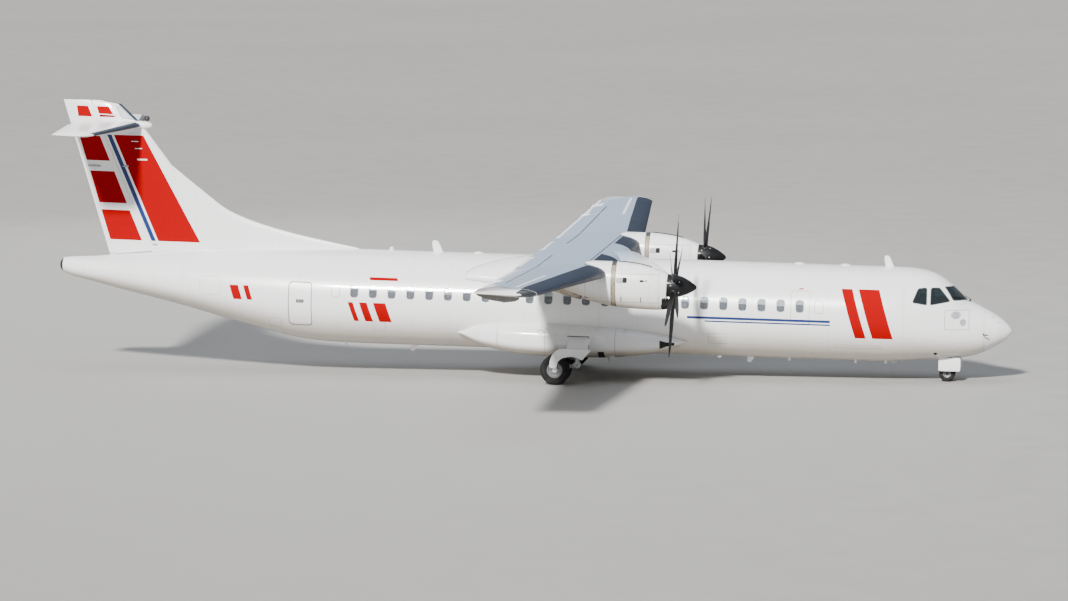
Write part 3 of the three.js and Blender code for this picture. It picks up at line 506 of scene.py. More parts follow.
def cut(piece, part, place=AIRFRAME, operation="DIFFERENCE", lining=0):
    """Cuts a body out of a piece, or keeps only what they share."""
    cutter = add_object("cutter", part, place)
    for polygon in cutter.data.polygons:
        polygon.material_index = lining
    modifier = piece.modifiers.new("cut", "BOOLEAN")
    modifier.operation = operation
    modifier.solver = "EXACT"
    modifier.object = cutter
    bake(piece)
    bpy.data.objects.remove(cutter)


def soften(piece, width, segments=2, angle=35):
    modifier = piece.modifiers.new("soften", "BEVEL")
    modifier.width = width
    modifier.segments = segments
    modifier.limit_method = "ANGLE"
    modifier.angle_limit = radians(angle)
    bake(piece)


def dress(piece, *materials, body="airframe", slot=None, replaces=(), smooth=32):
    """Gives a piece its materials and shading, and makes it ride on its body."""
    mesh = piece.data
    while len(mesh.materials) < len(materials):
        mesh.materials.append(None)
    for index, material in enumerate(materials):
        mesh.materials[index] = finishes(material)
    mesh.shade_smooth()
    mesh.set_sharp_from_angle(angle=radians(smooth))
    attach(piece, body)
    if replaces:
        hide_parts(*replaces)
    return piece


def add_piece(name, part, material, place=AIRFRAME, soft=0.0, **more):
    piece = add_object(name, part, place)
    if soft:
        soften(piece, soft)
    return dress(piece, material, **more)


def add_gear_piece(name, part, material, **more):
    """A piece that is given as the aircraft stands, not level."""
    return add_piece(name, part, material, PARKED, **more)


# Shader groups

class Wiring:
    """Adds nodes to a tree and links them."""

    def __init__(self, tree):
        self.tree = tree

    def node(self, kind, **settings):
        node = self.tree.nodes.new(kind)
        for name, value in settings.items():
            setattr(node, name, value)
        return node

    def plug(self, socket, value):
        if isinstance(value, bpy.types.NodeSocket):
            self.tree.links.new(value, socket)
        else:
            socket.default_value = value

    def set(self, node, **inputs):
        """Sets or links a node's inputs, named with underscores for spaces."""
        for name, value in inputs.items():
            self.plug(node.inputs[name.replace("_", " ")], value)

    def math(self, operation, a, b=0.0, c=0.0):
        node = self.node("ShaderNodeMath", operation=operation)
        for socket, value in zip(node.inputs, (a, b, c)):
            self.plug(socket, value)
        return node.outputs[0]

    def ease(self, value, low, high, start=0.0, end=1.0):
        node = self.node("ShaderNodeMapRange", interpolation_type="SMOOTHSTEP")
        for socket, given in zip(node.inputs, (value, low, high, start, end)):
            self.plug(socket, given)
        return node.outputs[0]

    def blend(self, factor, a, b):
        node = self.node("ShaderNodeMix", data_type="RGBA")
        for index, value in ((0, factor), (6, a), (7, b)):
            self.plug(node.inputs[index], value)
        return node.outputs[2]

    def noise(self, vector, scale, detail):
        node = self.node("ShaderNodeTexNoise")
        self.set(node, Vector=vector, Scale=scale, Detail=detail, Roughness=0.55)
        return node.outputs[0]

    def place(self):
        return self.node("ShaderNodeTexCoord").outputs["Object"]

    def stretched(self, vector, scale):
        node = self.node("ShaderNodeMapping")
        self.set(node, Vector=vector, Scale=scale)
        return node.outputs[0]

    def axes(self):
        node = self.node("ShaderNodeSeparateXYZ")
        self.plug(node.inputs[0], self.place())
        return node.outputs

    def group(self, group, **values):
        node = self.node("ShaderNodeGroup", node_tree=group)
        self.set(node, **values)
        return node.outputs

    def bump(self, height, strength, distance):
        node = self.node("ShaderNodeBump")
        self.set(node, Strength=strength, Distance=distance, Height=height)
        return node.outputs[0]


def new_group(name, inputs, outputs):
    """An empty shader group with its sockets, wired by the caller."""
    group = bpy.data.node_groups.new(name, "ShaderNodeTree")
    for label, value in inputs.items():
        kind = "NodeSocketVector" if isinstance(value, tuple) else "NodeSocketFloat"
        group.interface.new_socket(label, in_out="INPUT", socket_type=kind).default_value = value
    for label in outputs:
        group.interface.new_socket(label, in_out="OUTPUT", socket_type="NodeSocketFloat")
    wiring = Wiring(group)
    return group, wiring, wiring.node("NodeGroupInput"), wiring.node("NodeGroupOutput")


def streaks_group():
    """Dirt in soft clouds and in streaks that run down the sides."""
    group, wire, given, result = new_group("Weather Streaks", {"Scale": 1.0, "Low": 0.5, "High": 0.8},
        ["Mask"])
    place = wire.place()
    clouds = wire.noise(place, given.outputs["Scale"], 5.0)
    thin = wire.stretched(place, (4.0, 4.0, 0.45))
    lines = wire.noise(thin, given.outputs["Scale"], 3.0)
    both = wire.math("ADD", wire.math("MULTIPLY", clouds, 0.55), wire.math("MULTIPLY", lines, 0.45))
    mask = wire.ease(both, given.outputs["Low"], given.outputs["High"])
    wire.plug(result.inputs["Mask"], mask)
    return group


def underside_group():
    """Where a surface looks down, by its own axes."""
    group, wire, given, result = new_group("Underside", {"Low": 0.2, "High": 0.9}, ["Mask"])
    split = wire.node("ShaderNodeSeparateXYZ")
    wire.plug(split.inputs[0], wire.node("ShaderNodeTexCoord").outputs["Normal"])
    down = wire.math("MULTIPLY", split.outputs[2], -1.0)
    wire.plug(result.inputs["Mask"], wire.ease(down, given.outputs["Low"], given.outputs["High"]))
    return group


def seams_group():
    """Thin lines of panel joints on a net of two coordinates, with rivets beside them."""
    group, wire, given, result = new_group("Panel Seams", {"Along": 0.0, "Across": 0.0,
        "Along Pitch": 1.0, "Across Pitch": 0.6, "Width": 0.006}, ["Line", "Rivets"])
    lines = []
    near = []
    for name in ("Along", "Across"):
        pitch = given.outputs[name + " Pitch"]
        distance = wire.math("PINGPONG", given.outputs[name], wire.math("MULTIPLY", pitch, 0.5))
        width = given.outputs["Width"]
        lines.append(wire.ease(distance, wire.math("MULTIPLY", width, 0.4), width, 1.0, 0.0))
        near.append(wire.ease(distance, 0.014, 0.02, 1.0, 0.0))
    wire.plug(result.inputs["Line"], wire.math("MAXIMUM", *lines))
    dots = []
    for name, band in (("Across", near[0]), ("Along", near[1])):
        step = wire.math("PINGPONG", given.outputs[name], 0.0125)
        dots.append(wire.math("MULTIPLY", band, wire.ease(step, 0.002, 0.004, 1.0, 0.0)))
    wire.plug(result.inputs["Rivets"], wire.math("MAXIMUM", *dots))
    return group


def grain_group():
    """Fine even grain for rubber, fabric, plastic and cast metal."""
    group, wire, given, result = new_group("Fine Grain", {"Scale": 60.0, "Coarse": 6.0,
        "Coarse Share": 0.4}, ["Height"])
    place = wire.place()
    fine = wire.noise(place, given.outputs["Scale"], 3.0)
    coarse = wire.noise(place, given.outputs["Coarse"], 4.0)
    share = given.outputs["Coarse Share"]
    height = wire.math("ADD", wire.math("MULTIPLY", coarse, share),
        wire.math("MULTIPLY", fine, wire.math("SUBTRACT", 1.0, share)))
    wire.plug(result.inputs["Height"], height)
    return group


GROUPS = {}


def shared(name):
    """One of the shared shader groups, built the first time it is asked for."""
    if name not in GROUPS:
        GROUPS[name] = {"streaks": streaks_group, "underside": underside_group, "seams": seams_group,
            "grain": grain_group}[name]()
    return GROUPS[name]


def new_material(name, roughness, metallic=0.0, coat=0.0, transmission=0.0, ior=1.5, shine=0.5):
    """A material with its Principled shader, returned with a wiring for its tree."""
    material = bpy.data.materials.new(name)
    material.use_nodes = True
    shader = material.node_tree.nodes["Principled BSDF"]
    wire = Wiring(material.node_tree)
    wire.set(shader, Roughness=roughness, Metallic=metallic, Coat_Weight=coat, Coat_Roughness=0.06,
        Transmission_Weight=transmission, IOR=ior, Specular_IOR_Level=shine)
    return material, shader, wire


def tint(colour, factor):
    return tuple(min(channel * factor, 1.0) for channel in colour[:3]) + (1.0,)


def solid(colour):
    return tuple(colour[:3]) + (1.0,)


def net_axes(wire, net):
    """The two coordinates of a seam net: along the fuselage and round it, or over a wing."""
    x, y, z = wire.axes()
    if net == "hull":
        centre = wire.math("ADD", wire.math("MULTIPLY", x, tan(NOSE_DOWN)), -HULL_CENTRE_Z)
        angle = wire.math("ARCTAN2", wire.math("ADD", z, centre), y)
        return x, wire.math("MULTIPLY", angle, HULL_RADIUS)
    if net == "wing":
        return y, x
    return x, z


def painted(name, colour, roughness=0.3, coat=0.25, dirt=(0.6, 0.52, 0.4), dirt_amount=0.3, under=0.35,
        net=None, pitch=(1.0, 0.6), streak=(0.9, 0.52, 0.78), lines_dark=0.35, fade=None, shine=0.5):
    """Airframe paint with joint lines, rivets, dirt streaks, and an underside darkened partly by dirt
    and partly by painted shade.

    A fade is a second colour, the x where it is full, the x where it ends, and its share.
    """
    material, shader, wire = new_material(name, roughness, coat=coat, shine=shine)
    mask = wire.group(shared("streaks"), Scale=streak[0], Low=streak[1], High=streak[2])[0]
    below = wire.group(shared("underside"), Low=0.15, High=0.95)[0]
    clean_paint = solid(colour)
    if fade:
        second, full, end, share = fade
        if isinstance(second, str):
            second = getattr(bpy.context.scene.airliner_colours, second)
        clean_paint = wire.blend(wire.ease(wire.axes()[0], full, end, share, 0.0), clean_paint,
            solid(second))
    # The underside share darkens faces that look down with the dirt colour: partly dirt, partly painted
    # shade.
    amount = wire.math("ADD", wire.math("MULTIPLY", mask, dirt_amount),
        wire.math("MULTIPLY", below, under))
    base = wire.blend(amount, clean_paint, solid(tuple(c * d for c, d in zip(colour, dirt))))
    rough = wire.ease(mask, 0.0, 1.0, roughness, min(roughness + 0.2, 1.0))
    if net:
        along, across = net_axes(wire, net)
        lines = wire.group(shared("seams"), Along=along, Across=across, Along_Pitch=pitch[0],
            Across_Pitch=pitch[1], Width=0.007)
        base = wire.blend(wire.math("MULTIPLY", lines[0], lines_dark), base, tint(colour, 0.4))
        height = wire.math("SUBTRACT", wire.math("MULTIPLY", lines[1], 0.4), lines[0])
        wire.set(shader, Normal=wire.bump(height, 0.5, 0.002))
    wire.set(shader, Base_Color=base, Roughness=rough)
    return material


def grained(name, colour, roughness, grain=60.0, bump=0.3, metallic=0.0, coat=0.0, spots=0.25,
        coarse=6.0, shine=0.5):
    """A plain surface with grain in its colour, roughness and relief."""
    material, shader, wire = new_material(name, roughness, metallic, coat, shine=shine)
    height = wire.group(shared("grain"), Scale=grain, Coarse=coarse, Coarse_Share=0.45)[0]
    rough = wire.ease(height, 0.3, 0.7, max(roughness - 0.08, 0.02), min(roughness + 0.1, 1.0))
    base = wire.blend(wire.ease(height, 0.35, 0.65), tint(colour, 1 - spots),
        tint(colour, 1 + 0.4 * spots))
    wire.set(shader, Base_Color=base, Roughness=rough, Normal=wire.bump(height, bump, 0.001))
    return material


def tyre_rubber(name):
    """Rubber with road dust on its tread and sidewalls."""
    material, shader, wire = new_material(name, 0.8, shine=0.2)
    height = wire.group(shared("grain"), Scale=90.0, Coarse=9.0, Coarse_Share=0.5)[0]
    dust = wire.ease(height, 0.45, 0.68, 0.0, 0.5)
    wire.set(shader, Base_Color=wire.blend(dust, solid((0.01, 0.01, 0.011)),
        solid((0.07, 0.067, 0.062))), Roughness=wire.ease(height, 0.3, 0.7, 0.65, 0.92),
        Normal=wire.bump(height, 0.4, 0.002))
    return material


def exhaust_metal(name):
    """Bare steel browned by heat in uneven patches."""
    material, shader, wire = new_material(name, 0.38, metallic=1.0)
    height = wire.group(shared("grain"), Scale=40.0, Coarse=5.0, Coarse_Share=0.6)[0]
    heat = wire.ease(height, 0.35, 0.62)
    wire.set(shader, Base_Color=wire.blend(heat, solid((0.2, 0.15, 0.11)), solid((0.42, 0.36, 0.3))),
        Roughness=wire.ease(height, 0.3, 0.7, 0.3, 0.55), Normal=wire.bump(height, 0.25, 0.001))
    return material


def glazing(name, colour):
    """Tinted glass with a faint film of dirt."""
    roughness = 0.03
    material, shader, wire = new_material(name, roughness, transmission=0.92, ior=1.45)
    film = wire.group(shared("streaks"), Scale=2.5, Low=0.45, High=0.8)[0]
    base = wire.blend(wire.math("MULTIPLY", film, 0.25), solid(colour), tint(colour, 0.7))
    wire.set(shader, Base_Color=base, Roughness=wire.ease(film, 0.0, 1.0, roughness, roughness + 0.06))
    return material


def fabric(name, colour):
    """Woven seat cloth with a fine cross weave."""
    material, shader, wire = new_material(name, 0.85)
    x, y, z = wire.axes()
    thread = 0.003
    threads = [wire.math("PINGPONG", wire.math("ADD", axis, z), thread) for axis in (x, y)]
    weave = wire.math("MULTIPLY", wire.math("MULTIPLY", *threads), 1 / thread ** 2)
    base = wire.blend(wire.ease(weave, 0.1, 0.9), tint(colour, 0.75), tint(colour, 1.1))
    wire.set(shader, Base_Color=base, Normal=wire.bump(weave, 0.3, 0.001), Sheen_Weight=0.3)
    return material


def lens(name, colour, glow):
    """A lamp's lens, clear or coloured, with a little light of its own."""
    material, shader, wire = new_material(name, 0.08, coat=0.6)
    height = wire.group(shared("grain"), Scale=220.0, Coarse=60.0, Coarse_Share=0.3)[0]
    base = wire.blend(wire.ease(height, 0.4, 0.6), tint(colour, 0.8), solid(colour))
    wire.set(shader, Base_Color=base, Emission_Color=base, Emission_Strength=glow,
        Normal=wire.bump(height, 0.2, 0.001))
    return material


# Airframe paints: the colour that each takes, its share, and what sets it apart.
PAINTED = {
    "hull_paint": ("paint", 1.0, dict(net="hull", pitch=(1.068, 0.9), dirt_amount=0.14, under=0.8,
        lines_dark=0.25)),
    "plain_paint": ("paint", 1.0, dict(dirt_amount=0.12, under=0.45)),
    "door_paint": ("paint", 1.0, dict(dirt_amount=0.2, under=0.4)),
    "belly_paint": ("paint", 0.93, dict(net="hull", pitch=(1.3, 5.0), dirt_amount=0.4, under=0.9)),
    # The nacelle paint's brown fade towards its rear is painted shade with a warm ground reflection
    # under the wing.
    "nacelle_paint": ("paint", 1.0, dict(net="nacelle", pitch=(0.78, 0.9), dirt_amount=0.35, under=0.9,
        streak=(1.6, 0.5, 0.75), fade=((0.42, 0.36, 0.29), 1.2, 2.4, 0.6))),
    # The blue-grey on top of the wing and of the fairing's front is grey paint together with a painted
    # sky reflection.
    "wing_upper": ("wing", 1.0, dict(roughness=0.35, coat=0.35, net="wing", pitch=(1.4, 0.55),
        dirt_amount=0.2, under=0.2, dirt=(0.72, 0.72, 0.72))),
    "fairing_top": ("paint", 1.0, dict(roughness=0.33, coat=0.4, dirt_amount=0.15,
        fade=("wing", 2.6, 3.4, 1.0))),
    "wing_lower": ("paint", 0.9, dict(net="wing", pitch=(1.4, 0.55), dirt_amount=0.35, under=0.45)),
    "fin_paint": ("paint", 1.0, dict(net="side", pitch=(1.2, 1.35), dirt_amount=0.1, under=0.3)),
    "red_livery": ("red", 1.0, dict(dirt=(0.7, 0.7, 0.7), roughness=0.45, coat=0.0, dirt_amount=0.12,
        under=0.1, shine=0.0)),
    "navy_livery": ("navy", 1.0, dict(dirt=(0.8, 0.8, 0.8), coat=0.05, dirt_amount=0.1, under=0.1,
        shine=0.25)),
}
# Plain finishes: colour, roughness, and what sets each apart from even fine grain.
GRAINED = {
    "boot_rubber": dict(colour=(0.018, 0.03, 0.055), roughness=0.55, grain=30.0, spots=0.3, coarse=1.5,
        shine=0.35),
    "blade_black": dict(colour=(0.008, 0.008, 0.01), roughness=0.6, grain=50.0, spots=0.3, shine=0.2),
    "blade_edge": dict(colour=(0.28, 0.28, 0.29), roughness=0.35, metallic=1.0),
    "spinner_black": dict(colour=(0.007, 0.0075, 0.009), roughness=0.5, grain=40.0, coat=0.05,
        spots=0.3, coarse=4.0, shine=0.25),
    "screw_brass": dict(colour=(0.85, 0.74, 0.5), roughness=0.45, metallic=0.2),
    # Grey gear paint, set darker for the deep shade the legs stand in: partly painted shade.
    "gear_paint": dict(colour=(0.5, 0.52, 0.53), roughness=0.42, grain=30.0, spots=0.22, coat=0.2,
        coarse=5.0),
    "hub_paint": dict(colour=(0.22, 0.225, 0.235), roughness=0.45, grain=30.0, spots=0.25, coat=0.2,
        metallic=0.15),
    "bay_lining": dict(colour=(0.34, 0.35, 0.33), roughness=0.6, grain=20.0, spots=0.4, coarse=3.0),
    "chrome": dict(colour=(0.8, 0.8, 0.82), roughness=0.12, metallic=1.0, spots=0.08, bump=0.05),
    "wheel_alloy": dict(colour=(0.5, 0.51, 0.52), roughness=0.4, metallic=0.8, spots=0.3, grain=35.0),
    "dark_metal": dict(colour=(0.06, 0.06, 0.065), roughness=0.5, metallic=0.6),
    "brake_metal": dict(colour=(0.12, 0.105, 0.09), roughness=0.6, metallic=0.7, spots=0.4),
    "band_metal": dict(colour=(0.3, 0.26, 0.19), roughness=0.5, metallic=0.1, grain=14.0, spots=0.4,
        coarse=3.0),
    "black_rubber": dict(colour=(0.012, 0.012, 0.013), roughness=0.7, shine=0.2),
    "shadow_black": dict(colour=(0.008, 0.008, 0.009), roughness=0.8),
    "gasket": dict(colour=(0.045, 0.047, 0.05), roughness=0.6),
    "seam_grey": dict(colour=(0.23, 0.235, 0.24), roughness=0.6),
    "seam_dark": dict(colour=(0.05, 0.055, 0.065), roughness=0.6),
    "plate_grey": dict(colour=(0.4, 0.41, 0.46), roughness=0.4, grain=20.0),
    # Bright white paint, also used for painted highlights on the wing.
    "mark_white": dict(colour=(0.93, 0.95, 0.98), roughness=0.4, grain=20.0, spots=0.04),
    "pale_blue": dict(colour=(0.5, 0.57, 0.64), roughness=0.4, grain=20.0, spots=0.1),
    # Grey-brown taken from the tip pod's look in shade: painted shade.
    "pod_brown": dict(colour=(0.2, 0.19, 0.178), roughness=0.5, grain=20.0, spots=0.3),
    "window_rim": dict(colour=(0.6, 0.62, 0.64), roughness=0.45, grain=90.0, spots=0.1),
    # Pale blind, also standing for the sky's reflection in the window glass.
    "blind": dict(colour=(0.88, 0.91, 0.95), roughness=0.55, grain=120.0, spots=0.08),
    # Painted shade for the unlit cabin behind the windows.
    "cabin_dark": dict(colour=(0.03, 0.042, 0.065), roughness=0.6, grain=8.0, spots=0.4),
    "lining": dict(colour=(0.58, 0.58, 0.56), roughness=0.6, grain=80.0, spots=0.1),
    "carpet": dict(colour=(0.05, 0.06, 0.085), roughness=0.95, grain=220.0, bump=0.6),
    "step_tread": dict(colour=(0.06, 0.06, 0.062), roughness=0.85, grain=160.0, bump=0.6),
    "cockpit_grey": dict(colour=(0.13, 0.14, 0.15), roughness=0.6, grain=120.0),
    "cockpit_black": dict(colour=(0.02, 0.021, 0.023), roughness=0.6, grain=120.0),
    "screen": dict(colour=(0.01, 0.016, 0.022), roughness=0.12, coat=0.5, spots=0.1),
    "engine_metal": dict(colour=(0.2, 0.2, 0.21), roughness=0.4, metallic=0.9, spots=0.3),
    "floor": dict(colour=(0.38, 0.377, 0.37), roughness=0.75, grain=0.8, bump=0.02, spots=0.03,
        coarse=0.05),
}
SPECIAL = {
    "seat_cloth": lambda name: fabric(name, (0.09, 0.11, 0.15)),
    "tyre_rubber": tyre_rubber,
    "exhaust_metal": exhaust_metal,
    "cabin_glass": lambda name: glazing(name, (0.84, 0.89, 0.94)),
    "cockpit_glass": lambda name: glazing(name, (0.14, 0.2, 0.23)),
    "clear_lens": lambda name: lens(name, (0.85, 0.87, 0.88), 0.3),
    "tip_glass": lambda name: lens(name, (0.02, 0.026, 0.03), 0.0),
}
MATERIALS = {}


def finishes(name):
    """A finish of this aircraft by name, built the first time it is asked for."""
    if name in MATERIALS:
        return MATERIALS[name]
    if name in PAINTED:
        source, share, more = PAINTED[name]
        colour = getattr(bpy.context.scene.airliner_colours, source)
        material = painted(name, tuple(share * channel for channel in colour), **more)
    elif name in GRAINED:
        material = grained(name, **GRAINED[name])
    else:
        material = SPECIAL[name](name)
    MATERIALS[name] = material
    return material


# Fuselage

def oval_ring(x, row, y=0.0, grow=0.0, sides=HULL_SIDES, floor=None):
    crown, keel, half, wide = row
    ring = []
    for k in range(sides):
        angle = 2 * pi * k / sides
        rise = (crown - wide if sin(angle) >= 0 else wide - keel) + grow
        z = wide + sin(angle) * rise
        ring.append((x, y + cos(angle) * (half + grow), z if floor is None else max(z, floor)))
    return ring


def hull_body(start, end, grow=0.0, sides=HULL_SIDES, floor=None, joint=0.0):
    """A stretch of the fuselage as a solid, with its ends drawn in at a panel joint."""
    groove = 0.006
    roots = spread(sqrt(NOSE_X - start), sqrt(max(NOSE_X - end, 0.0)), 0.03)
    places = [NOSE_X - root * root for root in roots]
    rings = [oval_ring(x, hull_row(x), grow=grow, sides=sides, floor=floor) for x in places]
    if joint:
        for index, inward in ((0, groove), (-1, -groove)):
            x = places[index]
            near = oval_ring(x + inward, hull_row(x + inward), grow=grow, sides=sides)
            rings[index] = oval_ring(x, hull_row(x), grow=grow - joint, sides=sides)
            rings.insert(1 if index == 0 else len(rings) - 1, near)
    return lofted(rings)


def room(space, wall):
    return hull_body(*space["x"], grow=-wall, sides=48, floor=space["floor"])


def door_body(door, gap, radius):
    """What a door's opening takes out of the side, with its leaning sill and head."""
    outline = plate((door["x"][0] - gap, door["x"][1] + gap), (door["z"][0] - gap, door["z"][1] + gap),
        radius)
    middle = sum(door["z"]) / 2
    sill, head = max(-door["lean"], 0), max(door["lean"], 0)
    rings = []
    for y in (0.5, 1.7):
        shift = [head * (y - LEAN_EDGE_Y) if z > middle else sill * (LEAN_EDGE_Y - y) for _,
            z in outline]
        rings.append([(x, door["side"] * y, z + move) for (x, z), move in zip(outline, shift)])
    return lofted(rings)


def window_outline(x, size):
    half, tall = size.window_width / 2, size.window_height / 2
    return plate((x - half, x + half), (WINDOW_Z - tall, WINDOW_Z + tall), 0.1)


def cabin_windows(start, end):
    """The windows between two places, as (x, side, blanked)."""
    found = []
    for x in AFT_WINDOWS + WING_WINDOWS + FORWARD_WINDOWS:
        for side in (1, -1):
            in_door = side == 1 and CARGO_DOOR["x"][0] - 0.3 < x < CARGO_DOOR["x"][1] + 0.3
            if start < x < end and not in_door:
                found.append((x, side, x in BLANKED_WINDOWS))
    return found


class AIRLINER_OT_fuselage(bpy.types.Operator):
    """Makes the fuselage skins with their rooms, doorways and window wells"""

    bl_idname = "airliner.fuselage"
    bl_label = "Fuselage"

    def execute(self, context):
        size = context.scene.airliner_sizes
        radome = add_object("radome_skin", hull_body(RADOME_X, NOSE_X, joint=JOINT_DEPTH))
        dress(radome, "plain_paint", replaces=["radome"])

        cockpit = add_object("cockpit_skin", hull_body(COCKPIT_X, RADOME_X, joint=JOINT_DEPTH))
        cut(cockpit, room(CAB, CAB_WALL), lining=1)
        half = NOSE_BAY["half"]
        cut(cockpit, block(NOSE_BAY["x"], (-half, half), (0.3, NOSE_BAY["top"])), lining=2)
        panes = []
        for side in (1, -1):
            screen = rounded(WINDSCREEN, 0.04)
            panes.append(lofted([[(x, side * y, z) for y, z in screen] for x in (11.4, 12.7)]))
            for outline in SIDE_WINDOWS.values():
                shape = rounded(outline, 0.05)
                panes.append(lofted([[(x, side * y, z) for x, z in shape] for y in (0.45, 1.45)]))
        for pane in panes:
            cut(cockpit, pane, lining=3)
        dress(cockpit, "hull_paint", "cockpit_grey", "bay_lining", "gasket",
            replaces=["cockpit_section"])

        sections = [("forward_skin", FORWARD_X, COCKPIT_X, [CARGO_BAY], [CARGO_DOOR],
            "forward_fuselage"), ("centre_skin", CENTRE_X, FORWARD_X, [], [], "centre_fuselage"),
            ("rear_skin", REAR_X, CENTRE_X, [VESTIBULE], [PASSENGER_DOOR, SERVICE_DOOR],
            "rear_fuselage")]
        for name, start, end, rooms, doors, node in sections:
            skin = add_object(name, hull_body(start, end, joint=JOINT_DEPTH))
            for space in rooms:
                cut(skin, room(space, HULL_WALL), lining=1)
            for door in doors:
                cut(skin, door_body(door, size.door_gap, DOOR_CORNER), lining=1)
            reach = size.window_width
            wells = [patch(window_outline(x, size), hull_side(side), 0.03, 0.08, 0.12) for x, side,
                blanked in cabin_windows(start - reach, end + reach) if not blanked]
            cut(skin, merged(*wells), lining=2)
            dress(skin, "hull_paint", "lining", "blind", replaces=[node])

        cone = add_object("tail_cone_skin", hull_body(TAIL_X + 0.1, REAR_X, joint=JOINT_DEPTH))
        dress(cone, "hull_paint", replaces=["tail_cone"])
        cap_rings = [oval_ring(x, hull_row(x), grow=grow) for x, grow in ((TAIL_X + 0.101, -0.012),
            (TAIL_X + 0.06, -0.002), (TAIL_X + 0.02, -0.012), (TAIL_X, -0.05))]
        add_piece("tail_cap", lofted(cap_rings), "dark_metal", slot="black_paint")
        return {"FINISHED"}


class AIRLINER_OT_windows(bpy.types.Operator):
    """Makes the cabin windows with pale blinds that also stand for the sky's reflection in the glass,
    and the cockpit's panes
    """

    bl_idname = "airliner.windows"
    bl_label = "Windows"

    def execute(self, context):
        size = context.scene.airliner_sizes
        rows = cabin_windows(TAIL_X, NOSE_X)
        shades = random.Random(7)
        panes, frames, backs, sky_reflection_blinds, blanks, edges = [], [], [], [], [], []
        for x, side, blanked in rows:
            outline = window_outline(x, size)
            surface = hull_side(side)
            drop = shades.uniform(0.3, 0.55)
            if blanked:
                blanks.append(patch(outline, surface, 0.003, 0.006))
                edges.append(ribbon(outline, surface, 0.012, lift=0.004))
                continue
            low, high = WINDOW_Z - size.window_height / 2, WINDOW_Z + size.window_height / 2
            edge = high - drop * (high - low)
            panes.append(patch(outline, surface, -0.008, 0.008, 0.06))
            # A dark sheet behind each pane is painted shade for the unlit cabin.
            backs.append(patch(outline, surface, -0.04, 0.006, 0.06))
            # A pale blind over the upper part of each window, which is also a painted sky reflection.
            shade = [(u, max(v, edge)) for u, v in outline]
            sky_reflection_blinds.append(patch(clean(shade), surface, -0.026, 0.004, 0.06))
            frames.append(ribbon(outline, surface, 0.016, lift=0.0015))
        groups = [("cabin_window_panes", panes, "cabin_glass"), ("cabin_window_backs", backs,
            "cabin_dark"), ("cabin_window_blinds", sky_reflection_blinds, "blind"), ("cabin_window_frames", frames,
            "window_rim"), ("blanked_windows", blanks, "door_paint"), ("blanked_window_edges", edges,
            "seam_grey")]
        for name, parts, material in groups:
            add_piece(name, parts, material)

        for word, side in (("left", 1), ("right", -1)):
            shapes = {"windscreen": (WINDSCREEN, hull_front(side), 0.04)}
            for place, outline in SIDE_WINDOWS.items():
                shapes[f"side_window_{place}"] = (outline, hull_side(side), 0.05)
            seals = []
            for name, (outline, surface, radius) in shapes.items():
                shape = rounded(outline, radius)
                add_piece(f"{name}_{word}_pane", patch(shape, surface, -0.006, 0.012, 0.05),
                    "cockpit_glass", replaces=[f"{name}_{word}"])
                seals.append(ribbon(shape, surface, 0.02, lift=0.002, thickness=0.012))
            add_piece(f"cockpit_seals_{word}", seals, "gasket")
        return {"FINISHED"}


# Doors

def door_leaf(name, door, body, node):
    """A door as a piece of the fuselage's wall with a lined inner face."""
    x = door["x"]
    leaf = add_object(name, hull_body(x[0] - 0.05, x[1] + 0.05))
    cut(leaf, door_body(door, 0.0, DOOR_CORNER), operation="INTERSECT")
    cut(leaf, hull_body(x[0] - 0.1, x[1] + 0.1, grow=-0.1, sides=48), lining=1)
    soften(leaf, 0.004, 1)
    return dress(leaf, "door_paint", "lining", body=body, replaces=[node])


def inner_panel(door, surface, depth, margin):
    outline = plate((door["x"][0] + margin, door["x"][1] - margin),
        (door["z"][0] + margin, door["z"][1] - margin), 0.06)
    return patch(outline, surface, -depth, 0.012)


def handle(x, z, side):
    """A flush door handle: a dark recess with a lever across it."""
    surface = hull_side(side)
    recess = patch(plate((x - 0.11, x + 0.11), (z - 0.045, z + 0.045), 0.02), surface, 0.002, 0.004)
    lever = patch(plate((x - 0.09, x + 0.09), (z - 0.016, z + 0.016), 0.014), surface, 0.008, 0.008)
    return recess, lever


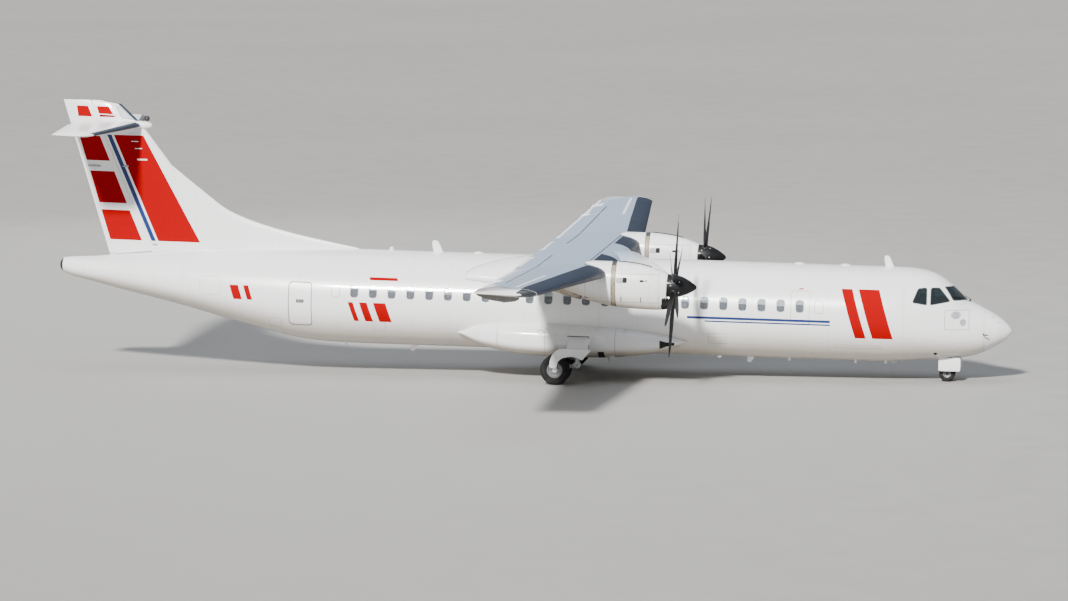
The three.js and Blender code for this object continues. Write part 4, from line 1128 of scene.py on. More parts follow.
class AIRLINER_OT_doors(bpy.types.Operator):
    """Makes the airstair door, the cargo door and the service door with their inner faces"""

    bl_idname = "airliner.doors"
    bl_label = "Doors"

    def execute(self, context):
        stair = PASSENGER_DOOR
        door_leaf("airstair_door", stair, "passenger_door", "passenger_door")
        surface = hull_side(1)
        back, front = stair["x"]
        treads, rails = [], []
        for k in range(5):
            z = stair["z"][0] + 0.2 + 0.27 * k
            wall = surface((back + front) / 2, z, -0.1)[1]
            treads.append(block((back + 0.11, front - 0.11), (wall - 0.2, wall + 0.01), (z, z + 0.035)))
        for x in (back + 0.07, front - 0.07):
            path = [surface(x, z, -0.1) for z in spread(stair["z"][0] + 0.14, stair["z"][1] - 0.3, 0.2)]
            stringer = [(px, py - 0.015, pz) for px, py, pz in path]
            rails.append(hose(stringer, 0.022))
            rails.append(hose([(px, py - 0.16 - 0.05 * sin(pi * k / (len(path) - 1)), pz) for k,
                (px, py, pz) in enumerate(path)], 0.014))
        add_piece("airstair_treads", treads, "step_tread", body="passenger_door", soft=0.004)
        add_piece("airstair_rails", rails, "wheel_alloy", body="passenger_door")

        door_leaf("cargo_bay_door", CARGO_DOOR, "cargo_door", "cargo_door")
        bars = []
        back, front = CARGO_DOOR["x"]
        for x in spread(back + 0.16, front - 0.16, 0.3):
            path = [surface(x, z, -0.102) for z in spread(CARGO_DOOR["z"][0] + 0.12, 2.5, 0.15)]
            bars.append(hose(path, 0.02))
        add_piece("cargo_door_ribs", bars, "bay_lining", body="cargo_door")

        door_leaf("service_door_leaf", SERVICE_DOOR, "airframe", "service_door")
        add_piece("service_door_lining", inner_panel(SERVICE_DOOR, hull_side(-1), 0.1, 0.06), "lining")
        handles = [("passenger", handle(-6.44, 2.05, 1), "passenger_door"),
            ("cargo", handle(9.36, 1.62, 1), "cargo_door"), ("service", handle(-6.375, 2.02, -1),
            "airframe")]
        for word, (recess, lever), body in handles:
            add_piece(f"{word}_handle_recess", recess, "shadow_black", body=body)
            add_piece(f"{word}_handle", lever, "wheel_alloy", body=body)
        outlines = []
        for door in (PASSENGER_DOOR, CARGO_DOOR, SERVICE_DOOR):
            margin = 0.018
            shape = plate((door["x"][0] - margin, door["x"][1] + margin),
                (door["z"][0] - margin, door["z"][1] + margin), DOOR_CORNER)
            outlines.append(ribbon(shape, hull_side(door["side"]), 0.014))
        add_piece("door_outlines", outlines, "seam_grey")
        hinges = []
        for x in spread(CARGO_DOOR["x"][0] + 0.2, CARGO_DOOR["x"][1] - 0.2, 0.38):
            hinges.append(patch(plate((x - 0.05, x + 0.05), (2.632, 2.68), 0.012), surface, 0.006,
                0.006))
        add_piece("cargo_hinge_plates", hinges, "wheel_alloy")
        return {"FINISHED"}


# Flight deck and the rooms behind the doors

def cushion(centre, size, along="Z"):
    """A crowned pad: rounded outlines that draw in at both faces."""
    crown = 0.18
    wide, deep, thick = size
    profile = [(0.05, -0.5 - crown * 0.3), (0.6, -0.5 - crown * 0.25), (0.88, -0.46), (0.97, -0.3),
        (1.0, 0.0), (0.97, 0.3), (0.88, 0.46), (0.6, 0.5 + crown), (0.05, 0.5 + 1.15 * crown)]
    rings = []
    for scale, level in profile:
        shape = plate((-wide / 2 * scale, wide / 2 * scale), (-deep / 2 * scale, deep / 2 * scale),
            min(wide, deep) * 0.22 * scale)
        if along == "Z":
            rings.append([(centre[0] + u, centre[1] + v, centre[2] + thick * level) for u, v in shape])
        else:
            rings.append([(centre[0] + thick * level, centre[1] + v, centre[2] + u) for u, v in shape])
    return lofted(rings)


def crew_seat(y):
    """Cushions and frame of one seat on the flight deck."""
    floor = CAB["floor"]
    pads = [cushion((11.21, y, floor + 0.42), (0.42, 0.44, 0.11)), cushion((10.96, y, floor + 0.78),
        (0.62, 0.44, 0.1), "X"), cushion((10.955, y, floor + 1.2), (0.17, 0.25, 0.08), "X")]
    frame_parts = [block((11.02, 11.42), (y - 0.21, y + 0.21), (floor + 0.33, floor + 0.36)),
        block((11.13, 11.31), (y - 0.09, y + 0.09), (floor + 0.03, floor + 0.34)),
        rod((10.95, y - 0.07, floor + 1.02), (10.95, y - 0.07, floor + 1.16), 0.009),
        rod((10.95, y + 0.07, floor + 1.02), (10.95, y + 0.07, floor + 1.16), 0.009)]
    for side in (1, -1):
        frame_parts.append(hose([(10.98, y + side * 0.235, floor + 0.62),
            (11.15, y + side * 0.24, floor + 0.64), (11.32, y + side * 0.235, floor + 0.63)], 0.022))
    return pads, frame_parts


class AIRLINER_OT_flight_deck(bpy.types.Operator):
    """Furnishes the flight deck that shows through the cockpit windows"""

    bl_idname = "airliner.flight_deck"
    bl_label = "Flight Deck"

    def execute(self, context):
        floor = CAB["floor"]
        deck = block((10.72, 12.2), (-0.76, 0.76), (floor + 0.004, floor + 0.035))
        add_piece("flight_deck_floor", deck, "carpet", soft=0.008, replaces=["flight_deck"])
        panel = lofted([[(x, y, z) for y, z in plate((-0.6, 0.6), (low, 2.31), 0.08)] for x,
            low in ((12.05, floor + 0.35), (12.2, floor + 0.3))])
        add_piece("instrument_panel", panel, "cockpit_grey", soft=0.006)
        shield = lofted([[(x, y, z) for y, z in plate((-half, half), (low, high), 0.03)] for x, half,
            low, high in ((11.93, 0.55, 2.33, 2.36), (12.0, 0.6, 2.32, 2.385),
            (12.2, 0.56, 2.31, 2.37))])
        add_piece("glareshield", shield, "cockpit_black", soft=0.008)
        pedestal = lofted([[(x, y, z) for x, z in rounded([(11.46, floor + 0.03), (12.08, floor + 0.03),
            (12.08, 1.98), (11.86, 1.9), (11.46, 1.78)], 0.05)] for y in (-0.13, 0.13)])
        add_piece("centre_pedestal", pedestal, "cockpit_grey", soft=0.008)
        screens, levers = [], []
        for k in range(5):
            y = -0.48 + 0.24 * k
            screens.append(block((12.036, 12.052), (y - 0.1, y + 0.1), (2.02, 2.25)))
        for k in range(4):
            y = -0.075 + 0.05 * k
            levers.append(rod((11.72, y, 1.84), (11.69, y, 1.99), 0.007))
            levers.append(block((11.665, 11.715), (y - 0.014, y + 0.014), (1.985, 2.015)))
        for side in (1, -1):
            column = hose([(11.86, side * 0.42, floor + 0.04), (11.8, side * 0.42, 1.6),
                (11.75, side * 0.42, 1.86)], 0.024)
            grip = hose([(11.72, side * 0.42 - 0.15, 1.98), (11.73, side * 0.42 - 0.13, 1.88),
                (11.75, side * 0.42, 1.86), (11.73, side * 0.42 + 0.13, 1.88),
                (11.72, side * 0.42 + 0.15, 1.98)], 0.017)
            levers += [column, grip]
        add_piece("instrument_screens", screens, "screen", soft=0.004)
        add_piece("flight_controls", levers, "cockpit_black", soft=0.002)
        for word, side in (("left", 1), ("right", -1)):
            pads, frame_parts = crew_seat(side * 0.48)
            seat = add_piece(f"crew_seat_{word}", pads, "seat_cloth", smooth=60)
            add_piece(f"crew_seat_frame_{word}", frame_parts, "cockpit_black", soft=0.004)
        return {"FINISHED"}


class AIRLINER_OT_cabin(bpy.types.Operator):
    """Floors the vestibule and the cargo bay, with a partition and a cargo net"""

    bl_idname = "airliner.cabin"
    bl_label = "Cabin"

    def execute(self, context):
        for name, space, material in (("vestibule_floor", VESTIBULE, "carpet"),
                ("cargo_floor", CARGO_BAY, "step_tread")):
            back, front = space["x"]
            low = space["floor"] + 0.003
            rings = []
            for x in spread(back + 0.01, front - 0.01, 0.3):
                half = oval_half(hull_row(x), low) - HULL_WALL - 0.01
                rings.append([(x, y, z) for y, z in ((half, low), (half, low + 0.015),
                    (-half, low + 0.015), (-half, low))])
            add_piece(name, lofted(rings), material, slot="cab_trim")
        frames = []
        for x in (VESTIBULE["x"][0] + 0.25, -5.2):
            row = hull_row(x)
            outer = oval_ring(x, row, grow=-HULL_WALL - 0.012, sides=48, floor=VESTIBULE["floor"])
            inner = [(x, 0.62 * y, 1.3 + 0.86 * (z - 1.3)) for _, y, z in outer]
            rings = [outer, inner, [(x + 0.03, y, z) for _, y, z in inner],
                [(x + 0.03, y, z) for _, y, z in outer]]
            around = [[ring[k] for ring in rings] for k in range(len(outer))]
            frames.append(lofted(around, closed=True))
        add_piece("vestibule_partitions", frames, "lining")
        strands = []
        x = CARGO_BAY["x"][0] + 0.12
        for y in spread(-0.9, 0.9, 0.18):
            strands.append(hose([(x, y, 1.36), (x + 0.02, y, 2.0), (x, y, 2.7)], 0.006, 6))
        for z in spread(1.45, 2.65, 0.2):
            strands.append(hose([(x, -1.05, z), (x + 0.02, 0.0, z), (x, 1.05, z)], 0.006, 6))
        add_piece("cargo_net", strands, "black_rubber", slot="cab_trim")
        return {"FINISHED"}


# Lifting surfaces

def foil_half(part, chord, ratio):
    """Half the thickness of a foil at a share of its chord."""
    shape = (0.2969 * sqrt(part) - 0.126 * part - 0.3516 * part ** 2 + 0.2843 * part ** 3
        - 0.1036 * part ** 4)
    return 5 * ratio * chord * shape + 0.004 * part


def foil_point(row, part, sign, grow=0.0):
    """Along and up at a share of the chord, on the upper or lower face."""
    lead, trail, lift, ratio, camber = row
    chord = lead - trail
    mean = 4 * camber * chord * part * (1 - part)
    along = lead + grow - part * (chord + 2 * grow)
    return along, lift + mean + sign * (foil_half(part, chord, ratio) + grow)


def port(x, height, at):
    return x, at, height


def starboard(x, height, at):
    return x, -at, height


def upright(x, height, at):
    return x, height, at


WINGS = (("left", 1, port), ("right", -1, starboard))


def stations(table, start, end, step=0.6):
    """Places along a span: evenly, with every place of the table between."""
    keys = [row[0] for row in table if start + 0.02 < row[0] < end - 0.02]
    places = [place for place in spread(start, end, step) if all(abs(place - key) > 0.05
        for key in keys) or place in (start, end)]
    return sorted({*places, *keys, start, end})


def foil_shape(row, steps=26):
    """A foil's outline from its nose along its upper face, and back along its lower one."""
    parts = [(1 - cos(pi * k / steps)) / 2 for k in range(1, steps + 1)]
    return [(row[0], row[2]), *(foil_point(row, part, 1) for part in parts),
        *(foil_point(row, part, -1) for part in reversed(parts))]


def foil_body(table, start, end, place):
    row_at = straight_table(table)
    return lofted([[place(x, height, at) for x, height in foil_shape(row_at(at))]
        for at in stations(table, start, end)])


def hinge_at(row, x):
    """Height of a hinge at x, and the foil's half thickness there."""
    lead, trail, lift, ratio, camber = row
    part = (lead - x) / (lead - trail)
    mean = 4 * camber * (lead - trail) * part * (1 - part)
    return lift + mean, foil_half(part, lead - trail, ratio)


def control_body(table, line, span, place):
    """A flap, aileron, elevator or rudder: the foil aft of its hinge, with a round nose."""
    steps = 16
    row_at, line_at = straight_table(table), straight_table(line)
    rings = []
    for at in stations(table, *span):
        row = row_at(at)
        x = line_at(at)[0]
        height, radius = hinge_at(row, x)
        start = (row[0] - x) / (row[0] - row[1])
        shape = []
        for k in range(13):
            turn = pi * (k / 12 - 0.5)
            shape.append((x + radius * cos(turn), height + radius * sin(turn)))
        parts = [start + (1 - start) * k / steps for k in range(1, steps + 1)]
        shape += [foil_point(row, part, 1) for part in parts]
        shape += [foil_point(row, part, -1) for part in reversed(parts)]
        rings.append([place(u, v, at) for u, v in shape])
    return lofted(rings)


def cut_hinge_zone(piece, table, line, span, place, gap=SWING_GAP):
    """Makes room in a foil for a control surface and its swing."""
    row_at, line_at = straight_table(table), straight_table(line)
    sides = 40
    reach = 0.6
    between = [row[0] for row in table if span[0] < row[0] < span[1]]
    barrel, aft = [], []
    places = [span[0] - gap, *between, span[1] + gap]
    for at in places:
        row = row_at(at)
        x = line_at(at)[0]
        height, radius = hinge_at(row, x)
        wide = (radius + gap) / cos(pi / sides)
        barrel.append([place(x + wide * cos(2 * pi * k / sides), height
            + wide * sin(2 * pi * k / sides), at) for k in range(sides)])
        if at in (places[0], places[-1]):
            aft.append([place(x, height - reach, at), place(x, height + reach, at),
                place(row[1] - reach, height + reach, at), place(row[1] - reach, height - reach, at)])
    cut(piece, lofted(aft), lining=1)
    cut(piece, lofted(barrel), lining=1)


def leading_strip(table, span, place, upper, lower, grow=0.003):
    """A strip wrapped round a leading edge between an upper and a lower line."""
    sink, steps = 0.008, 9
    row_at = straight_table(table)
    upper_at, lower_at = straight_table(upper), straight_table(lower)
    rings = []
    for at in stations(table, *span, step=0.3):
        row = row_at(at)
        chord = row[0] - row[1]
        top = max((row[0] - upper_at(at)[0]) / chord, 0.002)
        bottom = max((row[0] - lower_at(at)[0]) / chord, 0.002)
        marks = [(top * (1 - k / steps) ** 2, 1) for k in range(steps + 1)]
        marks += [(bottom * (k / steps) ** 2, -1) for k in range(1, steps + 1)]
        outer = [foil_point(row, part, sign, grow) for part, sign in marks]
        inner = [foil_point(row, part, sign, grow - sink) for part, sign in reversed(marks)]
        rings.append([place(x, height, at) for x, height in outer + inner])
    return lofted(rings)


def paint_faces_up(piece, material, reach=SPAN, start=-LENGTH):
    """Gives the faces that look up a finish, out to a span and forward of a place; here that finish
    carries a painted sky reflection.
    """
    piece.data.materials.append(finishes(material))
    slot = len(piece.data.materials) - 1
    for polygon in piece.data.polygons:
        inside = abs(polygon.center.y) < reach and polygon.center.x > start
        if polygon.normal.z > 0.05 and polygon.material_index == 0 and inside:
            polygon.material_index = slot


def wing_top(side):
    """Places (x, y) on the upper skin of a wing, y outwards."""
    row_at = straight_table(WING_TABLE)

    def surface(x, y, lift):
        row = row_at(abs(y))
        part = min(max((row[0] - x) / (row[0] - row[1]), 0.0), 1.0)
        return x, side * y, foil_point(row, part, 1)[1] + lift
    return surface


BOOT_UPPER = [(0.0, 2.18), (4.6, 2.16), (7.8, 1.89), (10.3, 1.7), (12.3, 1.54), (13.2, 1.5)]
BOOT_LOWER = [(0.0, 2.5), (4.6, 2.48), (11.8, 1.69), (13.2, 1.6)]
TIP_WHITE_Y = 13.36
WING_SEAM_X = 0.8


def teardrop(x, y, z, half, drop):
    """A slim fairing below a surface: x from nose to tail, z along its top."""
    rings = []
    sides = 20
    for part in (0.0, 0.04, 0.12, 0.25, 0.42, 0.6, 0.78, 0.92, 1.0):
        swell = max(sqrt(sin(pi * part ** 0.7)), 0.02)
        centre = z[0] + part * (z[1] - z[0])
        at = x[0] + part * (x[1] - x[0])
        rings.append([(at, y + half * swell * cos(2 * pi * k / sides),
            centre + drop * swell * sin(2 * pi * k / sides)) for k in range(sides)])
    return lofted(rings)


class AIRLINER_OT_wings(bpy.types.Operator):
    """Makes the wing with its boots, flaps, ailerons, tips and hinge fairings"""

    bl_idname = "airliner.wings"
    bl_label = "Wings"

    def execute(self, context):
        row_at = straight_table(WING_TABLE)
        middle = add_object("wing_centre_skin", lofted([[(x, y, height) for x,
            height in foil_shape(row_at(0.0))] for y in spread(-4.598, 4.598, 0.5)]))
        for _, _, place in WINGS:
            cut_hinge_zone(middle, WING_TABLE, FLAP_LINE, FLAP_INNER, place)
        dress(middle, "wing_lower", "wing_lower", replaces=["wing_centre"])
        paint_faces_up(middle, "wing_upper")
        spar = ribbon([(2.1, -4.59), (2.1, 4.59)], wing_top(1), 0.03, lift=0.002, closed=False)
        add_piece("wing_front_joint", spar, "seam_dark")
        for word, side, place in WINGS:
            outer = add_object(f"wing_skin_{word}", foil_body(WING_TABLE, WING_BREAK_Y + 0.002,
                SPAN / 2, place))
            cut_hinge_zone(outer, WING_TABLE, FLAP_LINE, FLAP_OUTER, place)
            cut_hinge_zone(outer, WING_TABLE, FLAP_LINE, AILERON_SPAN, place)
            dress(outer, "wing_lower", "wing_lower", replaces=[f"wing_{word}"])
            paint_faces_up(outer, "wing_upper", TIP_WHITE_Y)
            top = wing_top(side)
            for name, span in (("flap_inboard", FLAP_INNER), ("flap_outboard", FLAP_OUTER),
                    ("aileron", AILERON_SPAN)):
                node = f"{name}_{word}"
                surface = add_piece(f"{node}_skin", control_body(WING_TABLE, FLAP_LINE, span, place),
                    "wing_lower", body=node, replaces=[node])
                paint_faces_up(surface, "wing_upper")
                # A bright strip along each flap's and aileron's trailing edge is a painted highlight.
                edge = [(row_at(y)[1] + 0.075, y) for y in (span[0] + 0.1, span[1] - 0.1)]
                add_piece(f"{node}_white_edge", ribbon(edge, top, 0.09, closed=False), "mark_white",
                    body=node)
                seam = [(WING_SEAM_X, y) for y in (span[0] + 0.01, min(span[1] - 0.01, 10.9))]
                add_piece(f"{node}_seam", ribbon(seam, top, 0.04, lift=0.003, closed=False),
                    "seam_dark", body=node)
            # The bar near the tip and the bar behind the root are painted highlights; the white near
            # the tip is paint.
            whites_and_highlights = [ribbon([(1.57, 8.7), (1.34, 12.6)], top, 0.08, lift=0.006, closed=False),
                ribbon([(0.17, 1.05), (0.17, 1.5)], top, 0.16, closed=False),
                ribbon([(0.42, 13.2), (0.42, 13.4)], top, 0.2, lift=0.004, closed=False)]
            add_piece(f"wing_white_marks_{word}", whites_and_highlights, "mark_white")
            # Bright patches on the ailerons are painted glints.
            glint_patches = [ribbon([(x, y), (x, y + long)], top, wide, lift=0.004, closed=False) for x, y,
                long, wide in ((0.33, 9.85, 0.5, 0.14), (0.44, 11.25, 0.6, 0.36))]
            add_piece(f"aileron_white_marks_{word}", glint_patches, "mark_white", body=f"aileron_{word}")
            seam = [(WING_SEAM_X, y) for y in (FLAP_INNER[1] + 0.01, FLAP_OUTER[0] - 0.01)]
            add_piece(f"wing_seam_{word}", ribbon(seam, top, 0.04, lift=0.003, closed=False),
                "seam_dark")
            boots = [leading_strip(WING_TABLE, span, place, BOOT_UPPER, BOOT_LOWER)
                for span in ((1.5, 3.62), (4.48, 8.9), (8.905, 13.1))]
            add_piece(f"wing_boots_{word}", boots, "boot_rubber")
            for piece, grow, (inner, end), margin, finish in (("tip_light_rim", 0.003, (13.12, 13.522),
                    0.05, "mark_white"), ("tip_light", 0.006, (13.17, 13.518), 0.0, "tip_glass")):
                line = [(inner, 1.55 - margin), (13.42, 1.5 - margin), (end, 1.42 - margin)]
                add_piece(f"{piece}_{word}", leading_strip(WING_TABLE, (inner, end), place, line, line,
                    grow=grow), finish)
            pods = []
            for at, nose, drop, half in ((4.63, 1.35, 0.12, 0.017), (9.37, 1.35, 0.13, 0.017),
                    (13.05, 1.5, 0.2, 0.06)):
                row = row_at(at)
                low = foil_point(row, 0.62, -1)[1]
                tail = foil_point(row, 1.0, -1)[1]
                pods.append(teardrop((nose, row[1] - 0.02), side * at, (low, tail), half, drop))
            # The tip pod's dark colour is painted shade.
            add_piece(f"tip_pod_{word}", pods.pop(), "pod_brown", smooth=60)
            add_piece(f"hinge_fairings_{word}", pods, "plain_paint", smooth=60)
            wicks = []
            for at in (5.6, 7.2, 8.8, 10.4, 11.6, 12.6):
                row = row_at(at)
                tail = place(row[1] + 0.01, row[2], at)
                body = f"flap_outboard_{word}" if at < 9.35 else f"aileron_{word}"
                wicks.append((body, rod(tail, (tail[0] - 0.09, tail[1], tail[2] - 0.012), 0.004, 0.0025,
                    8)))
            for body in (f"flap_outboard_{word}", f"aileron_{word}"):
                add_piece(f"wicks_{body}", [part for name, part in wicks if name == body],
                    "black_rubber", body=body)
        return {"FINISHED"}


# Fairings

def belly_ring(x):
    half, top, bottom = belly_row(x)
    ring = []
    for k in range(HULL_SIDES):
        turn = 2 * pi * k / HULL_SIDES
        y = copysign(abs(cos(turn)) ** (2 / 3), cos(turn))
        z = copysign(abs(sin(turn)) ** (2 / 3), sin(turn))
        ring.append((x, half * y, (top + bottom) / 2 + (top - bottom) / 2 * z))
    return ring


def belly_side(side):
    """Places (x, z) on the side of the belly fairing."""
    def surface(x, z, lift):
        half, top, bottom = belly_row(x)
        ratio = min(abs(z - (top + bottom) / 2) / ((top - bottom) / 2 + lift), 1.0)
        return x, side * (half + lift) * (1 - ratio ** 3) ** (1 / 3), z
    return surface


def oval_half(row, z):
    """Half the width of an oval at a height."""
    crown, keel, half, wide = row
    rise = crown - wide if z >= wide else wide - keel
    return half * sqrt(max(1 - ((z - wide) / rise) ** 2, 0.0))


def fairing_lines(x):
    """Heights where the wing fairing goes into the fuselage at x, from the top down."""
    steps = 240
    fairing, hull = wing_fairing_row(x), hull_row(x)
    levels = [fairing[0] + (fairing[1] - fairing[0]) * k / steps for k in range(steps + 1)]
    outside = [oval_half(fairing, z) > oval_half(hull, z) for z in levels]
    return [z for z, before, after in zip(levels, outside, outside[1:]) if before != after]


def fairing_creases(side):
    """The lines in which the fairing's lobes, behind and ahead of the wing, meet the skin."""
    creases = []
    for places in (spread(0.0, -1.78, 0.09), spread(3.45, 4.13, 0.08)):
        found = [(x, fairing_lines(x)) for x in places]
        found = [(x, heights) for x, heights in found if len(heights) == 2]
        upper = [hull_side(side)(x, heights[0], 0.001) for x, heights in found]
        lower = [hull_side(side)(x, heights[1], 0.001) for x, heights in found]
        creases.append(hose(upper + lower[::-1], 0.007, 6))
    return creases


JACKS = {"nose": (10.3, 0.0, 0.49), "left": (2.45, 1.25, 0.59), "right": (2.45, -1.25, 0.59)}


def jack_pad(x, y, z):
    return turned([(0.098, 0.16), (0.098, 0.012), (0.09, 0.0), (0.05, 0.0), (0.045, 0.006),
        (0.0, 0.006)], (x, y, z), (0, 0, 1), 40)


class AIRLINER_OT_fairings(bpy.types.Operator):
    """Makes the fairings over the wing root and under the belly, with the jacking pads"""

    bl_idname = "airliner.fairings"
    bl_label = "Fairings"

    def execute(self, context):
        front, rear = WING_FAIRING_TABLE[0][0], WING_FAIRING_TABLE[-1][0]
        rings = [oval_ring(x, wing_fairing_row(x)) for x in spread(rear, front, 0.08)]
        fairing = add_piece("wing_root_fairing", lofted(rings), "plain_paint",
            replaces=["wing_fairing"])
        paint_faces_up(fairing, "fairing_top", start=MAIN_WHEEL_X)
        creases = fairing_creases(1) + fairing_creases(-1)
        add_piece("wing_fairing_creases", creases, "seam_grey")
        belly = add_object("belly_skin", lofted([belly_ring(x) for x in spread(-1.9, 4.6, 0.1)]))
        for side in (1, -1):
            y = sorted(side * value for value in MAIN_BAY["y"])
            cut(belly, block(MAIN_BAY["x"], y, MAIN_BAY["z"]), place=PARKED, lining=1)
        dress(belly, "belly_paint", "bay_lining", replaces=["belly_fairing"], smooth=40)
        pads = [moved(jack_pad(*place), PARKED) for place in JACKS.values()]
        add_piece("jacking_pads", pads, "gear_paint", place=Matrix())
        marks, scoops, dark, squares, slats = [], [], [], [], []
        wedge = [(3.84, 1.0), (4.06, 1.085), (4.27, 1.113), (4.27, 1.206), (4.06, 1.219), (3.84, 1.272)]
        for side in (1, -1):
            surface = belly_side(side)
            dark.append(patch(wedge, surface, 0.009, 0.012, 0.03))
            scoops.append(ribbon(wedge, surface, 0.02, lift=0.012, thickness=0.016))
            for x in (-0.71, 0.65, 2.62):
                _, top, bottom = belly_row(x)
                line = [(x, z) for z in spread(bottom + 0.12, top - 0.06, 0.1)]
                marks.append(ribbon(line, surface, 0.012, closed=False))
            marks.append(ribbon(disc((0.525, 1.407), 0.1, 0.55), surface, 0.014))
            marks.append(ribbon(disc((2.876, 1.48), 0.045, 0.8), surface, 0.006))
            dark.append(ribbon([(1.28, 1.325), (1.89, 1.325), (1.89, 1.02)], surface, 0.024,
                closed=False))
            squares.append(patch(plate((1.03, 1.3), (0.86, 1.17), 0.02), surface, 0.003, 0.012, 0.05))
            squares.append(patch(plate((2.07, 2.35), (1.155, 1.377), 0.03), surface, 0.006, 0.01))
            dark.append(patch(plate((2.145, 2.315), (0.7, 0.905), 0.02), surface, 0.012, 0.016, 0.03))
            slats += [ribbon([(x, 0.715), (x, 0.89)], surface, 0.008, lift=0.018, thickness=0.01,
                closed=False, cell=0.03) for x in spread(2.165, 2.295, 0.03)]
        add_piece("belly_scoops", scoops, "belly_paint")
        add_piece("belly_squares", squares, "door_paint")
        add_piece("belly_inlets", dark, "shadow_black")
        add_piece("belly_grille_slats", slats, "dark_metal")
        add_piece("belly_joints", marks, "seam_grey", slot="belly_paint")
        return {"FINISHED"}


# Nacelles

NACELLE_SIDES = 72


def nacelle_ring(x, side, grow=0.0):
    share = min(max((x - 4.18) / 0.14, 0.0), 1.0)
    droop = tan(THRUST_DROOP) * share
    return [(px + (z - SPINNER_BASE[2]) * droop, y, z) for px, y, z in oval_ring(x, nacelle_row(x),
        side * PROPELLER_Y, grow, NACELLE_SIDES)]


def nacelle_side(side, face):
    """Places (x, z) on the outer (face 1) or inner (face -1) side of a nacelle."""
    return oval_side(nacelle_row, face, side * PROPELLER_Y)


def nacelle_band(start, end, side, grow):
    """A closed shell round a nacelle between two places."""
    outer = [nacelle_ring(x, side, grow) for x in spread(start, end, 0.05)]
    inner = [nacelle_ring(x, side, -0.004) for x in spread(end, start, 0.05)]
    rings = outer + inner
    return lofted([[ring[k] for ring in rings] for k in range(len(rings[0]))], closed=True)


INTAKE = [(4.5, 2.735, 2.475, 0.215, 2.6), (4.2, 2.725, 2.475, 0.21, 2.6),
    (3.9, 2.66, 2.49, 0.15, 2.57)]
EXHAUST_START = (1.98, 2.835)
EXHAUST_END = (1.25, 2.99)
EXHAUST_OFFSET = 0.06


def exhaust_at(side, share):
    x = EXHAUST_START[0] + share * (EXHAUST_END[0] - EXHAUST_START[0])
    z = EXHAUST_START[1] + share * (EXHAUST_END[1] - EXHAUST_START[1])
    return Vector((x, side * (PROPELLER_Y + EXHAUST_OFFSET), z))


